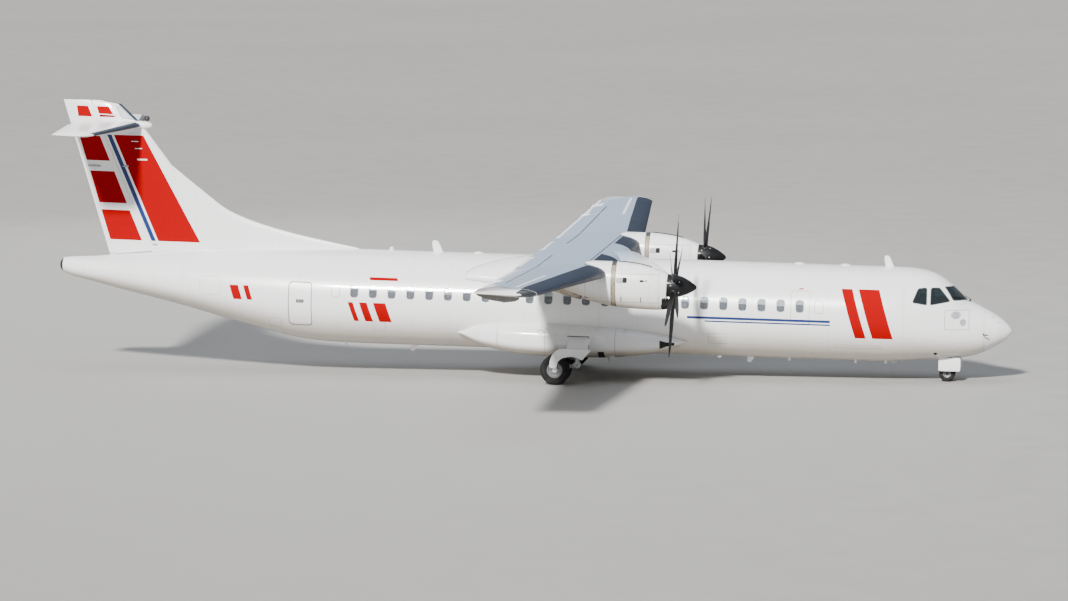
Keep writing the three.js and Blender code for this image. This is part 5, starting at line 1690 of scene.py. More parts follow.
class AIRLINER_OT_nacelles(bpy.types.Operator):
    """Makes the nacelles with their intakes, access panels and exhaust pipes"""

    bl_idname = "airliner.nacelles"
    bl_label = "Nacelles"

    def execute(self, context):
        for word, side, _ in WINGS:
            y = side * PROPELLER_Y
            rings = [nacelle_ring(4.325, side, -0.008)]
            rings += [nacelle_ring(x, side) for x in spread(4.316, 0.15, 0.06)]
            nacelle = add_object(f"nacelle_skin_{word}", lofted(rings))
            cut(nacelle, lofted([oval_ring(row[0], row[1:], y, sides=40) for row in INTAKE]), lining=1)
            cut(nacelle, rod(exhaust_at(side, -0.04), exhaust_at(side, 1.1), 0.222, 0.188, 40),
                lining=2)
            dress(nacelle, "nacelle_paint", "shadow_black", "exhaust_metal",
                replaces=[f"nacelle_{word}"])
            lip = [oval_ring(x, INTAKE[0][1:], y, grow, 40) for x, grow in ((4.2, 0.012),
                (4.345, 0.012), (4.375, 0.004), (4.345, -0.006), (4.2, -0.008))]
            lip = [[(x + (z - SPINNER_BASE[2]) * tan(THRUST_DROOP), py, z) for x, py, z in ring]
                for ring in lip]
            add_piece(f"intake_lip_{word}", lofted([[ring[k] for ring in lip] for k in range(40)],
                closed=True), "black_rubber")
            chin = [(4.18, nacelle_row(4.18)[1] + 0.005), (4.31, nacelle_row(4.31)[1] + 0.005),
                (4.31, 2.79), (4.2, 2.77)]
            guards = [patch(chin, nacelle_side(side, face), 0.003, 0.008, 0.03) for face in (1, -1)]
            add_piece(f"intake_boot_{word}", guards, "black_rubber")
            add_piece(f"nacelle_band_{word}", nacelle_band(2.815, 2.925, side, 0.003), "band_metal")
            edges = [nacelle_band(x, x + 0.014, side, 0.0045) for x in (2.803, 2.923)]
            edges.append(patch(plate((2.82, 2.92), (-0.24, 0.24), 0.01), oval_crown(nacelle_row, y),
                0.0055, 0.006))
            add_piece(f"band_edges_{word}", edges, "seam_dark", slot="black_paint")
            start, end = exhaust_at(side, 0.0), exhaust_at(side, 1.0)
            length = (end - start).length
            pipe = turned_ring([(0.193, 0.0), (0.176, length * 0.6), (0.159, length - 0.01),
                (0.155, length), (0.149, length - 0.01), (0.168, length * 0.6), (0.186, 0.0)], start,
                end - start)
            # A black plug inside the pipe is painted shade for its bore.
            bore_shade_plug = turned([(0.184, 0.06), (0.184, 0.08), (0.08, 0.1), (0.0, 0.16)], start, end - start)
            add_piece(f"exhaust_pipe_{word}", pipe, "exhaust_metal", replaces=[f"exhaust_{word}"])
            add_piece(f"exhaust_core_{word}", bore_shade_plug, "shadow_black", slot="exhaust_metal")
            joints, inlets, plates_and_shades = [], [], []
            hinge = [(x, 0.0) for x in spread(2.97, 3.88, 0.1)]
            inlets.append(ribbon(hinge, oval_crown(nacelle_row, y), 0.03, lift=0.022, thickness=0.026,
                closed=False))
            for face in (1, -1):
                surface = nacelle_side(side, face)
                for x in (4.12, 2.1):
                    crown, keel, _, _ = nacelle_row(x)
                    line = [(x, z) for z in spread(keel + 0.03, crown - 0.03, 0.06)]
                    joints.append(ribbon(line, surface, 0.008, closed=False))
                for start, z in ((2.2, 2.64), (2.95, 3.42)):
                    line = [(x, z) for x in spread(start, 4.1, 0.12)]
                    joints.append(ribbon(line, surface, 0.009, closed=False))
                for x in (3.087, 3.63):
                    inlets.append(ribbon([(x, 2.8), (x, 2.64)], surface, 0.022, closed=False))
                inlets.append(patch(plate((3.13, 3.25), (3.185, 3.33), 0.03), surface, 0.004, 0.006))
                inlets.append(patch(plate((3.6, 3.7), (3.217, 3.275), 0.02), surface, 0.004, 0.006))
                plates_and_shades.append(patch(plate((2.96, 3.125), (3.185, 3.32), 0.03), surface, 0.012, 0.014))
                # The grey patch aft of the slot is painted shade in the scoop.
                plates_and_shades.append(patch(plate((3.705, 3.81), (3.217, 3.275), 0.02), surface, 0.003, 0.006))
            add_piece(f"nacelle_joints_{word}", joints, "seam_grey")
            add_piece(f"nacelle_inlets_{word}", inlets, "shadow_black")
            add_piece(f"nacelle_inlet_plates_{word}", plates_and_shades, "plate_grey")
            engine = bpy.data.objects[f"engine_{word}"]
            for slot in engine.material_slots:
                slot.material = finishes("engine_metal")
        return {"FINISHED"}


# Propellers

SPINNER_LENGTH = 0.805
SPINNER_PROFILE = [(0.0, 0.312), (0.15, 0.316), (0.32, 0.292), (0.51, 0.222), (0.7, 0.112),
    (0.805, 0.0)]
spinner_by_root = smooth_table([(sqrt(SPINNER_LENGTH - along), radius) for along,
    radius in SPINNER_PROFILE])
# Blade: radius, chord, thickness to chord, pitch in degrees, sweep back.
BLADE_TABLE = [(0.33, 0.12, 0.5, 42, 0.0), (0.6, 0.205, 0.16, 29, 0.0), (1.2, 0.255, 0.08, 17, 0.005),
    (1.72, 0.205, 0.055, 11, 0.035), (PROPELLER_RADIUS, 0.06, 0.05, 8, 0.09)]
blade_row = smooth_table(BLADE_TABLE)


def spinner_radius(along):
    return spinner_by_root(sqrt(max(SPINNER_LENGTH - along, 0.0)))[0]


def blade_ring(radius, first=0.0, last=1.0, grow=0.0, steps=14):
    """A blade's section at a radius, between two shares of its chord."""
    chord, ratio, pitch, sweep = blade_row(radius)
    pitch = radians(pitch)
    marks = [first + (last - first) * (1 - cos(pi * k / steps)) / 2 for k in range(steps + 1)]
    ring = []
    for sign, parts in ((1, marks), (-1, marks[::-1][1:])):
        for part in parts:
            shape = foil_half(part, chord, ratio) * 0.98
            half = sign * (max(shape, 0.0006) + grow) if 0 < part else 0.0
            along = (0.4 - part) * chord - sweep + (grow if part < 0.02 else 0.0)
            ring.append((BLADE_PLANE + along * sin(pitch) + half * cos(pitch),
                -along * cos(pitch) + half * sin(pitch), radius))
    return ring[:-1]


def blade_body():
    places = [0.25, 0.33, *spread(0.4, 1.84, 0.08), 1.9, 1.94, PROPELLER_RADIUS]
    return lofted([blade_ring(max(radius, 0.33)) if radius > 0.3 else [(x, y, radius) for x, y,
        _ in blade_ring(0.33)] for radius in places])


def blade_guard():
    """The metal strip along the outer part of a blade's leading edge."""
    return lofted([blade_ring(radius, 0.0, 0.09, 0.0012, 6) for radius in spread(1.02, 1.93, 0.07)])


def propeller_place(side, turn):
    return (AIRFRAME @ Matrix.Translation((SPINNER_BASE[0], side * SPINNER_BASE[1], SPINNER_BASE[2]))
        @ Matrix.Rotation(THRUST_DROOP, 4, "Y") @ Matrix.Rotation(turn, 4, "X"))


class AIRLINER_OT_propellers(bpy.types.Operator):
    """Makes the six-bladed propellers with their spinners"""

    bl_idname = "airliner.propellers"
    bl_label = "Propellers"

    def execute(self, context):
        for word, side, turn in (("left", 1, pi / BLADE_COUNT), ("right", -1, 0.0)):
            place = propeller_place(side, turn)
            body = f"propeller_{word}"
            spins = [Matrix.Rotation(2 * pi * k / BLADE_COUNT, 4, "X") for k in range(BLADE_COUNT)]
            blades = merged(*[moved(blade_body(), spin) for spin in spins])
            add_piece(f"propeller_blades_{word}", blades, "blade_black", body=body, place=place,
                replaces=[f"propeller_{word}"], smooth=50)
            guards = merged(*[moved(blade_guard(), spin) for spin in spins])
            add_piece(f"blade_guards_{word}", guards, "blade_edge", body=body, place=place, smooth=50)
            roots = spread(sqrt(SPINNER_LENGTH), 0.02, 0.03)
            profile = [(0.29, -0.004)]
            profile += [(spinner_radius(SPINNER_LENGTH - r * r), SPINNER_LENGTH - r * r) for r in roots]
            profile.append((0.0, SPINNER_LENGTH))
            add_piece(f"spinner_shell_{word}", turned(profile, (0, 0, 0), (1, 0, 0), 72),
                "spinner_black", body=body, place=place, replaces=[f"spinner_{word}"], smooth=45)
            cuffs, screws = [], []
            for spin in spins:
                cuff = turned([(0.078, 0.26), (0.078, 0.318), (0.07, 0.326), (0.05, 0.326)],
                    (BLADE_PLANE, 0, 0), (0, 0, 1), 32)
                cuffs.append(moved(cuff, spin))
                for along, swing in ((0.11, 0.42), (0.34, 0.0)):
                    radius = spinner_radius(along)
                    screw = turned([(0.014, -0.004), (0.014, 0.0025), (0.009, 0.004), (0.0, 0.004)],
                        (along, 0, radius), (0.12, 0, 1), 12)
                    screws.append(moved(screw, spin @ Matrix.Rotation(swing, 4, "X")))
            add_piece(f"blade_cuffs_{word}", cuffs, "dark_metal", body=body, slot="black_paint",
                place=place)
            add_piece(f"spinner_screws_{word}", screws, "screw_brass", body=body, place=place)
            shaft = turned([(0.09, -0.1), (0.09, 0.0), (0.2, 0.0), (0.2, 0.01)], (0, 0, 0), (1, 0, 0),
                32)
            add_piece(f"propeller_shaft_{word}", shaft, "dark_metal", body=body, place=place)
        return {"FINISHED"}


# Tail

RUDDER_GAP = 0.02
RUDDER_SWEEP = [(-12.33, 0.125), (-13.7, 0.81), (-13.7, -0.81), (-12.33, -0.125)]


def rudder_sweep():
    return lofted([[(x, y, z) for x, y in RUDDER_SWEEP] for z in (6.4, 7.1)])


def fin_side(side):
    """Places (x, z) on the side of the fin and rudder."""
    row_at = straight_table(FIN_TABLE)

    def surface(x, z, lift):
        lead, trail, _, ratio, _ = row_at(z)
        part = min(max((lead - x) / (lead - trail), 0.0), 1.0)
        return x, side * (foil_half(part, lead - trail, ratio) + lift), z
    return surface


class AIRLINER_OT_tail(bpy.types.Operator):
    """Makes the fin and its fillet, the rudder, the tailplane and the elevators"""

    bl_idname = "airliner.tail"
    bl_label = "Tail"

    def execute(self, context):
        fin = add_object("fin_skin", foil_body(FIN_TABLE, 2.9, FIN_TOP_Z, upright))
        cut_hinge_zone(fin, FIN_TABLE, RUDDER_LINE, RUDDER_SPAN, upright, RUDDER_GAP)
        dress(fin, "fin_paint", "plain_paint", replaces=["fin"])
        rings = []
        for x in spread(-4.95, -10.7, 0.2):
            top, half = fillet_row(x)
            ring = []
            for k in range(25):
                turn = pi * k / 24
                wide = copysign(abs(cos(turn)) ** 0.75, cos(turn))
                ring.append((x, half * wide, FILLET_BASE_Z + (top - FILLET_BASE_Z) * sin(turn)))
            rings.append(ring)
        add_piece("fin_fillet", lofted(rings), "fin_paint", smooth=50)

        rudder = add_object("rudder_skin", control_body(FIN_TABLE, RUDDER_LINE, RUDDER_SPAN, upright))
        cut(rudder, hull_body(TAIL_X, REAR_X, grow=0.022, sides=48))
        dress(rudder, "fin_paint", body="rudder", replaces=["rudder"])
        line = [(6.86, -11.43), (7.33, -11.95), (7.4, -12.4)]
        tip = leading_strip(FIN_TABLE, (6.86, 7.4), upright, line, line)
        add_piece("fin_tip_boot", tip, "boot_rubber")
        pale, outlines = [], []
        tip_panel = [(-11.45, 6.88), (-11.83, 6.95), (-12.02, 7.29), (-11.9, 7.26)]
        for side in (1, -1):
            pale.append(patch(tip_panel, fin_side(side), 0.002, 0.005))
            outlines.append(ribbon(tip_panel, fin_side(side), 0.012, lift=0.003))
        add_piece("fin_tip_panels", pale, "pale_blue")
        add_piece("fin_tip_outlines", outlines, "seam_grey")

        boots = []
        for word, side, place in WINGS:
            name = "tailplane_skin" if side > 0 else "tailplane_skin_right"
            half = add_object(name, foil_body(TAILPLANE_TABLE, 0.0, TAIL_SPAN / 2, place))
            cut(half, rudder_sweep(), lining=1)
            cut_hinge_zone(half, TAILPLANE_TABLE, ELEVATOR_LINE, ELEVATOR_SPAN, place)
            dress(half, "plain_paint", "plain_paint", replaces=["tailplane"] if side > 0 else ())
            elevator = add_object(f"elevator_skin_{word}", control_body(TAILPLANE_TABLE, ELEVATOR_LINE,
                ELEVATOR_SPAN, place))
            cut(elevator, rudder_sweep())
            dress(elevator, "plain_paint", body=f"elevator_{word}", replaces=[f"elevator_{word}"])
            line = [(0.0, -11.39), (3.5, -12.01), (3.66, -12.16)]
            boots.append(leading_strip(TAILPLANE_TABLE, (0.22, 3.45), place, line, line))
            add_piece(f"elevator_horn_{word}", teardrop((-12.0, -13.03), side * 3.6, (6.703, 6.703),
                0.045, 0.05), "plain_paint")
        add_piece("tailplane_boots", boots, "boot_rubber")
        bullet = turned([(0.0, 0.0), (0.06, 0.03), (0.105, 0.14), (0.12, 0.35), (0.11, 0.8),
            (0.075, 1.3), (0.0, 1.6)], (-10.95, 0, 6.74), (-1, 0, 0), 36)
        add_piece("tailplane_fairing", bullet, "fin_paint", smooth=60)
        mast = rod((-11.3, 0, 6.93), (-11.1, 0, 6.93), 0.022)
        ball = turned([(0.0, 0.0), (0.06, 0.02), (0.085, 0.08), (0.06, 0.145), (0.0, 0.165)],
            (-11.03, 0, 6.93), (-1, 0, 0), 32)
        add_piece("fin_probe", [mast, ball], "dark_metal", slot="black_paint", smooth=60)
        tabs = []
        for side in (1, -1):
            surface = fin_side(side)
            for x, z in ((-11.53, 6.46), (-11.43, 6.27), (-11.32, 6.07)):
                base = surface(x, z, -0.004)
                tabs.append(lofted([[(x + dx, base[1] + side * out, z + dz) for dx,
                    dz in ((0.1, 0.0), (-0.1, 0.0), (-0.1, 0.02), (0.1, 0.02))]
                    for out in (0.0, 0.045)]))
            tabs.append(patch(plate((-11.36, -11.07), (5.745, 5.785), 0.01), surface, 0.003, 0.012))
            base = surface(-12.2, 7.0, -0.004)
            tabs.append(lofted([[(x, base[1] + side * out, z) for x, z in ((-11.98, 7.0),
                (-12.47, 7.02), (-12.47, 7.045), (-11.98, 7.025))] for out in (0.0, 0.05)]))
        add_piece("fin_vortex_tabs", tabs, "plain_paint")
        joints = [ribbon([(x, side * 0.15) for x in spread(-8.2, -12.0, 0.2)], oval_crown(hull_row),
            0.012, closed=False) for side in (1, -1)]
        add_piece("fin_joints", joints, "seam_grey")
        cuffs, actuators = [], []
        for side in (1, -1):
            for z, x in ((5.56, -11.9), (3.35, -11.03)):
                base = fin_side(side)(x + 0.12, z, 0.004)
                cuffs.append(teardrop((x + 0.3, x + 0.1), base[1] * 0.86, (z, z), 0.05, 0.032))
            base = fin_side(side)(-12.6, 5.545, 0.0)
            actuators.append(teardrop((-12.4, -12.84), base[1], (5.545, 5.545), 0.035, 0.035))
        add_piece("rudder_hinge_fairings", cuffs, "plate_grey", smooth=60)
        add_piece("rudder_tab_fairings", actuators, "plate_grey", body="rudder", smooth=60)
        return {"FINISHED"}


# Landing gear

def tyre_part(wheel, y, axle, x):
    """A tyre with moulded sidewalls and four grooves round its tread."""
    half = wheel["width"] / 2
    radius = wheel["radius"] - 0.004
    rim = wheel["rim"]
    side = [(rim, 0.7), (rim + 0.012, 0.8), (rim + 0.3 * (radius - rim), 0.96),
        (rim + 0.45 * (radius - rim), 1.0), (rim + 0.68 * (radius - rim), 0.95),
        (rim + 0.7 * (radius - rim), 0.965), (0.93 * radius, 0.83), (0.975 * radius, 0.66),
        (0.993 * radius, 0.52)]
    grooves = []
    for centre in (0.36, 0.12):
        grooves += [(radius, centre + 0.045), (radius - 0.009, centre + 0.035),
            (radius - 0.009, centre - 0.035), (radius, centre - 0.045)]
    top = side + grooves
    profile = [(r, along * half) for r, along in top] + [(r, -along * half) for r, along in top[::-1]]
    return turned_ring(profile, (x, y, axle), (0, 1, 0), 80)


def wheel_parts(wheel, x, axle, y, face, bolts):
    """Rim, hub cap and bolts of one wheel; face points away from the other wheel."""
    rim, half = wheel["rim"], wheel["width"] / 2
    centre = (x, y, axle)
    shell = turned([(wheel["axle"] + 0.01, -0.5 * half), (0.92 * rim, -0.5 * half),
        (rim - 0.002, -0.74 * half), (rim - 0.001, 0.6 * half), (rim + 0.004, 0.78 * half),
        (0.95 * rim, 0.8 * half), (0.88 * rim, 0.7 * half), (0.82 * rim, 0.4 * half),
        (0.62 * rim, 0.3 * half), (0.46 * rim, 0.34 * half), (0.4 * rim, 0.52 * half),
        (0.0, 0.54 * half)], centre, (0, face, 0), 64)
    cap = turned([(0.36 * rim, 0.5 * half), (0.34 * rim, 0.66 * half), (0.26 * rim, 0.74 * half),
        (0.0, 0.76 * half)], centre, (0, face, 0), 40)
    details, holes = [], []
    for k in range(bolts):
        turn = 2 * pi * k / bolts
        for reach, size, depth, group in ((0.72, 0.035, 0.36, details), (0.72, 0.1, 0.325, holes)):
            swing = turn if group is details else turn + pi / bolts
            point = (x + reach * rim * cos(swing), y + face * depth * half,
                axle + reach * rim * sin(swing))
            group.append(turned([(size * rim, -0.01), (size * rim, 0.006 if group is details
                else 0.001), (0.0, 0.007 if group is details else 0.001)], point, (0, face, 0),
                6 if group is details else 20))
    return shell, cap, merged(*details), merged(*holes)


def wheel_pair(name, body, wheel, x, axle, y, bolts, cap):
    shells, caps, details, holes = [], [], [], []
    for word, face in (("port", 1), ("starboard", -1)):
        centre = y + face * wheel["offset"]
        add_gear_piece(f"{name}_rubber_{word}", tyre_part(wheel, centre, axle, x), "tyre_rubber",
            body=body, replaces=[f"{name}_tyre_{word}"], smooth=28)
        for group, part in zip((shells, caps, details, holes), wheel_parts(wheel, x, axle, centre, face,
                bolts)):
            group.append(part)
    add_gear_piece(f"{name}_rims", shells, "hub_paint", body=body, replaces=[f"{name}_hubs"])
    add_gear_piece(f"{name}_caps", caps, cap, body=body, slot="wheel_alloy")
    add_gear_piece(f"{name}_bolts", details, "chrome", body=body, slot="wheel_alloy")
    add_gear_piece(f"{name}_rim_holes", holes, "shadow_black", body=body)


GEAR_DOOR_Y = 2.443
GEAR_DOOR = [(0.857, 0.498), (0.868, 0.66), (0.93, 0.85), (1.056, 0.985), (1.214, 1.03), (2.04, 1.0),
    (1.85, 0.8), (1.786, 0.705), (1.643, 0.784), (1.452, 0.816), (1.214, 0.768), (1.09, 0.66),
    (1.056, 0.467)]


class AIRLINER_OT_main_gear(bpy.types.Operator):
    """Makes the main landing gear with its wheels, brakes and curved doors"""

    bl_idname = "airliner.main_gear"
    bl_label = "Main Landing Gear"

    def execute(self, context):
        reach = MAIN_TRACK / 2
        knee_x, knee_z = 1.6, 0.54
        for word, side, _ in WINGS:
            def at(x, y, z, side=side):
                return x, side * y, z

            castings = [rod(at(1.075, 1.5, 0.985), at(1.775, 1.5, 0.985), 0.08, sides=32),
                rod(at(1.11, 1.5, 0.985), at(1.17, 1.5, 0.985), 0.094, sides=32),
                rod(at(1.68, 1.5, 0.985), at(1.74, 1.5, 0.985), 0.094, sides=32),
                rod(at(1.45, 1.52, 0.97), at(knee_x, reach - 0.03, knee_z + 0.02), 0.08, 0.066,
                sides=32), rod(at(knee_x, reach - 0.078, knee_z), at(knee_x, reach + 0.078, knee_z),
                0.09, sides=36), rod(at(knee_x, reach, knee_z), at(MAIN_WHEEL_X, reach, MAIN_AXLE_Z),
                0.066, 0.058, sides=32), rod(at(MAIN_WHEEL_X, reach - 0.068, MAIN_AXLE_Z),
                at(MAIN_WHEEL_X, reach + 0.068, MAIN_AXLE_Z), 0.094, sides=40)]
            bracket = block((1.38, 1.52), sorted(side * y for y in (1.435, 1.565)), (0.98, 1.118))
            add_gear_piece(f"main_leg_{word}", [*castings, bracket], "gear_paint", soft=0.005,
                replaces=[f"main_gear_leg_{word}"])
            top, foot = Vector(at(1.69, 1.51, 0.975)), Vector(at(1.49, reach - 0.02, 0.545))
            joint = top.lerp(foot, 0.62)
            cylinder = [rod(top, joint, 0.045, sides=32), rod(top.lerp(foot, 0.57), joint, 0.049,
                sides=32), rod(top, top.lerp(foot, 0.08), 0.05, sides=32)]
            add_gear_piece(f"shock_cylinder_{word}", cylinder, "gear_paint")
            add_gear_piece(f"shock_piston_{word}", rod(top.lerp(foot, 0.6), foot, 0.03, sides=32),
                "chrome")
            hoses = [hose([at(1.5, 1.6, 0.93), at(1.52, 1.8, 0.76), at(1.56, 1.96, 0.63),
                at(1.42, 1.985, 0.56), at(1.2, 1.985, 0.5), at(1.06, 1.985, 0.47)], 0.009),
                hose([at(1.46, 1.62, 0.93), at(1.49, 1.84, 0.74), at(1.52, 2.115, 0.62),
                at(1.38, 2.118, 0.55), at(1.18, 2.116, 0.49), at(1.06, 2.112, 0.46)], 0.009)]
            add_gear_piece(f"brake_hoses_{word}", hoses, "black_rubber")
            straps = []
            for share in (0.25, 0.6):
                point = Vector((knee_x, side * reach, knee_z)).lerp(Vector((MAIN_WHEEL_X, side * reach,
                    MAIN_AXLE_Z)), share)
                along = Vector((MAIN_WHEEL_X - knee_x, 0, MAIN_AXLE_Z - knee_z)).normalized()
                straps.append(rod(point, point + along * 0.016, 0.068, sides=28))
            add_gear_piece(f"leg_straps_{word}", straps, "dark_metal")

            def door_face(x, z, lift, side=side):
                return x, side * (GEAR_DOOR_Y + lift), z

            leaf = add_object(f"gear_door_panel_{word}", patch(rounded(GEAR_DOOR, 0.05, 3), door_face,
                0.013, 0.026, 0.05), PARKED)
            soften(leaf, 0.004, 1, 50)
            dress(leaf, "door_paint", replaces=[f"main_gear_door_{word}"])
            upper = lofted([[at(x, y, z) for y, z in ((2.443, 0.985), (2.25, 1.075), (2.03, 1.165),
                (1.8, 1.255), (1.79, 1.228), (2.02, 1.14), (2.24, 1.05), (2.43, 0.962))]
                for x in spread(1.33, 1.925, 0.1)])
            add_gear_piece(f"gear_door_upper_{word}", upper, "door_paint", soft=0.005)
            links = [rod(at(1.59, reach + 0.08, knee_z), at(1.59, 2.3, knee_z), 0.02),
                rod(at(1.59, 2.285, knee_z), at(1.635, 2.43, 0.87), 0.016),
                rod(at(1.57, 2.3, knee_z), at(1.61, 2.3, knee_z), 0.032)]
            for x, low, high in ((1.0, 0.62, 0.9), (1.3, 0.83, 0.99), (1.6, 0.83, 0.99)):
                links.append(rod(at(x, 2.425, low), at(x, 2.425, high), 0.009))
            add_gear_piece(f"gear_door_links_{word}", links, "gear_paint")
            brakes = []
            for face in (1, -1):
                y = side * reach + face * (MAIN_TYRE["offset"] - 0.145)
                brakes.append(turned([(0.06, 0.0), (0.13, 0.0), (0.14, 0.012), (0.14, 0.04),
                    (0.06, 0.045)], (MAIN_WHEEL_X, y, MAIN_AXLE_Z), (0, face, 0), 48))
            add_gear_piece(f"brake_packs_{word}", brakes, "brake_metal")
            wheel_pair(f"main_wheel_{word}", f"main_wheels_{word}", MAIN_TYRE, MAIN_WHEEL_X,
                MAIN_AXLE_Z, side * reach, 9, "plain_paint")
        return {"FINISHED"}


class AIRLINER_OT_nose_gear(bpy.types.Operator):
    """Makes the steered nose landing gear with its doors and lamps"""

    bl_idname = "airliner.nose_gear"
    bl_label = "Nose Landing Gear"

    def execute(self, context):
        x = NOSE_WHEEL_X
        leg = [rod((x, 0, 0.505), (x, 0, 0.92), 0.062, sides=36), rod((x, 0, 0.505), (x, 0, 0.56),
            0.068, sides=36), rod((x, 0, 0.76), (x, 0, 0.84), 0.068, sides=36),
            rod((x, -0.33, 0.8), (x, 0.33, 0.8), 0.036, sides=28), rod((x, -0.33, 0.8), (x, -0.27, 0.8),
            0.042, sides=28), rod((x, 0.27, 0.8), (x, 0.33, 0.8), 0.042, sides=28),
            rod((12.13, 0, 0.88), (x + 0.04, 0, 0.63), 0.026, sides=24),
            rod((12.13, -0.07, 0.88), (12.13, 0.07, 0.88), 0.03, sides=24)]
        add_gear_piece("nose_leg", leg, "gear_paint", replaces=["nose_gear_leg"])
        fork = [rod((x, 0, NOSE_AXLE_Z), (x, 0, 0.33), 0.047, sides=36),
            rod((x, -0.057, NOSE_AXLE_Z), (x, 0.057, NOSE_AXLE_Z), 0.056, sides=36),
            block((x + 0.02, x + 0.126), (-0.03, 0.03), (NOSE_AXLE_Z + 0.064, NOSE_AXLE_Z + 0.128)),
            turned([(0.05, 0.0), (0.056, 0.01), (0.056, 0.03), (0.05, 0.04)], (x, 0, NOSE_AXLE_Z + 0.1),
            (0, 0, 1), 36)]
        add_gear_piece("steered_fork", fork, "gear_paint", body="nose_steering", soft=0.003,
            replaces=["nose_fork"])
        add_gear_piece("nose_piston", rod((x, 0, 0.3), (x, 0, 0.497), 0.04, sides=32), "chrome",
            body="nose_steering")
        towing = turned([(0.028, 0.0), (0.028, 0.003), (0.02, 0.004), (0.0, 0.004)],
            (x + 0.125, 0, NOSE_AXLE_Z + 0.096), (1, 0, 0), 28)
        add_gear_piece("tow_fitting_face", towing, "dark_metal", body="nose_steering")
        lamps, glasses = [], []
        for side in (1, -1):
            lamps.append(turned([(0.0, 0.0), (0.035, 0.004), (0.055, 0.03), (0.055, 0.05),
                (0.048, 0.052)], (x + 0.07, side * 0.12, 0.68), (1, 0, -0.05), 32))
            lamps.append(rod((x + 0.05, 0, 0.68), (x + 0.08, side * 0.12, 0.68), 0.01))
            glasses.append(turned([(0.048, 0.046), (0.04, 0.056), (0.0, 0.062)],
                (x + 0.07, side * 0.12, 0.68), (1, 0, -0.05), 32))
        add_gear_piece("taxi_lamp_housings", lamps, "dark_metal")
        add_gear_piece("taxi_lamp_glasses", glasses, "clear_lens")
        lines = hose([(x - 0.05, 0.04, 0.9), (x - 0.085, 0.05, 0.75), (x - 0.08, 0.045, 0.6),
            (x - 0.07, 0.03, 0.53)], 0.008)
        add_gear_piece("nose_leg_hose", lines, "black_rubber")
        for word, side, _ in WINGS:
            outline = plate((11.585, 12.195), (0.55, 0.93), 0.06)
            leaf = lofted([[(px, side * y, pz) for px, pz in outline] for y in (0.3725, 0.3855)])
            add_piece(f"nose_door_{word}", leaf, "door_paint", soft=0.003,
                replaces=[f"nose_gear_door_{word}"])
            ribs = [rod((px, side * 0.366, 0.58), (px, side * 0.366, 0.9), 0.007)
                for px in (11.72, 11.9, 12.08)]
            add_piece(f"nose_door_ribs_{word}", ribs, "gear_paint")
        wheel_pair("nose_wheel", "nose_wheels", NOSE_TYRE, NOSE_WHEEL_X, NOSE_AXLE_Z, 0.0, 6,
            "dark_metal")
        return {"FINISHED"}


# Small fittings

def blade_antenna(x, base, height, rake):
    """A swept blade on the skin: x of its foot, heights and how far its tip leans aft."""
    rings = []
    for share, shrink in ((0.0, 1.0), (0.6, 0.8), (0.92, 0.6), (1.0, 0.35)):
        chord = abs(x[1] - x[0]) * shrink
        middle = (x[0] + x[1]) / 2 - rake * share
        level = base + height * share
        rings.append([(middle + chord / 2 * cos(2 * pi * k / 20), 0.02 * shrink * sin(2 * pi * k / 20),
            level) for k in range(20)])
    return lofted(rings)


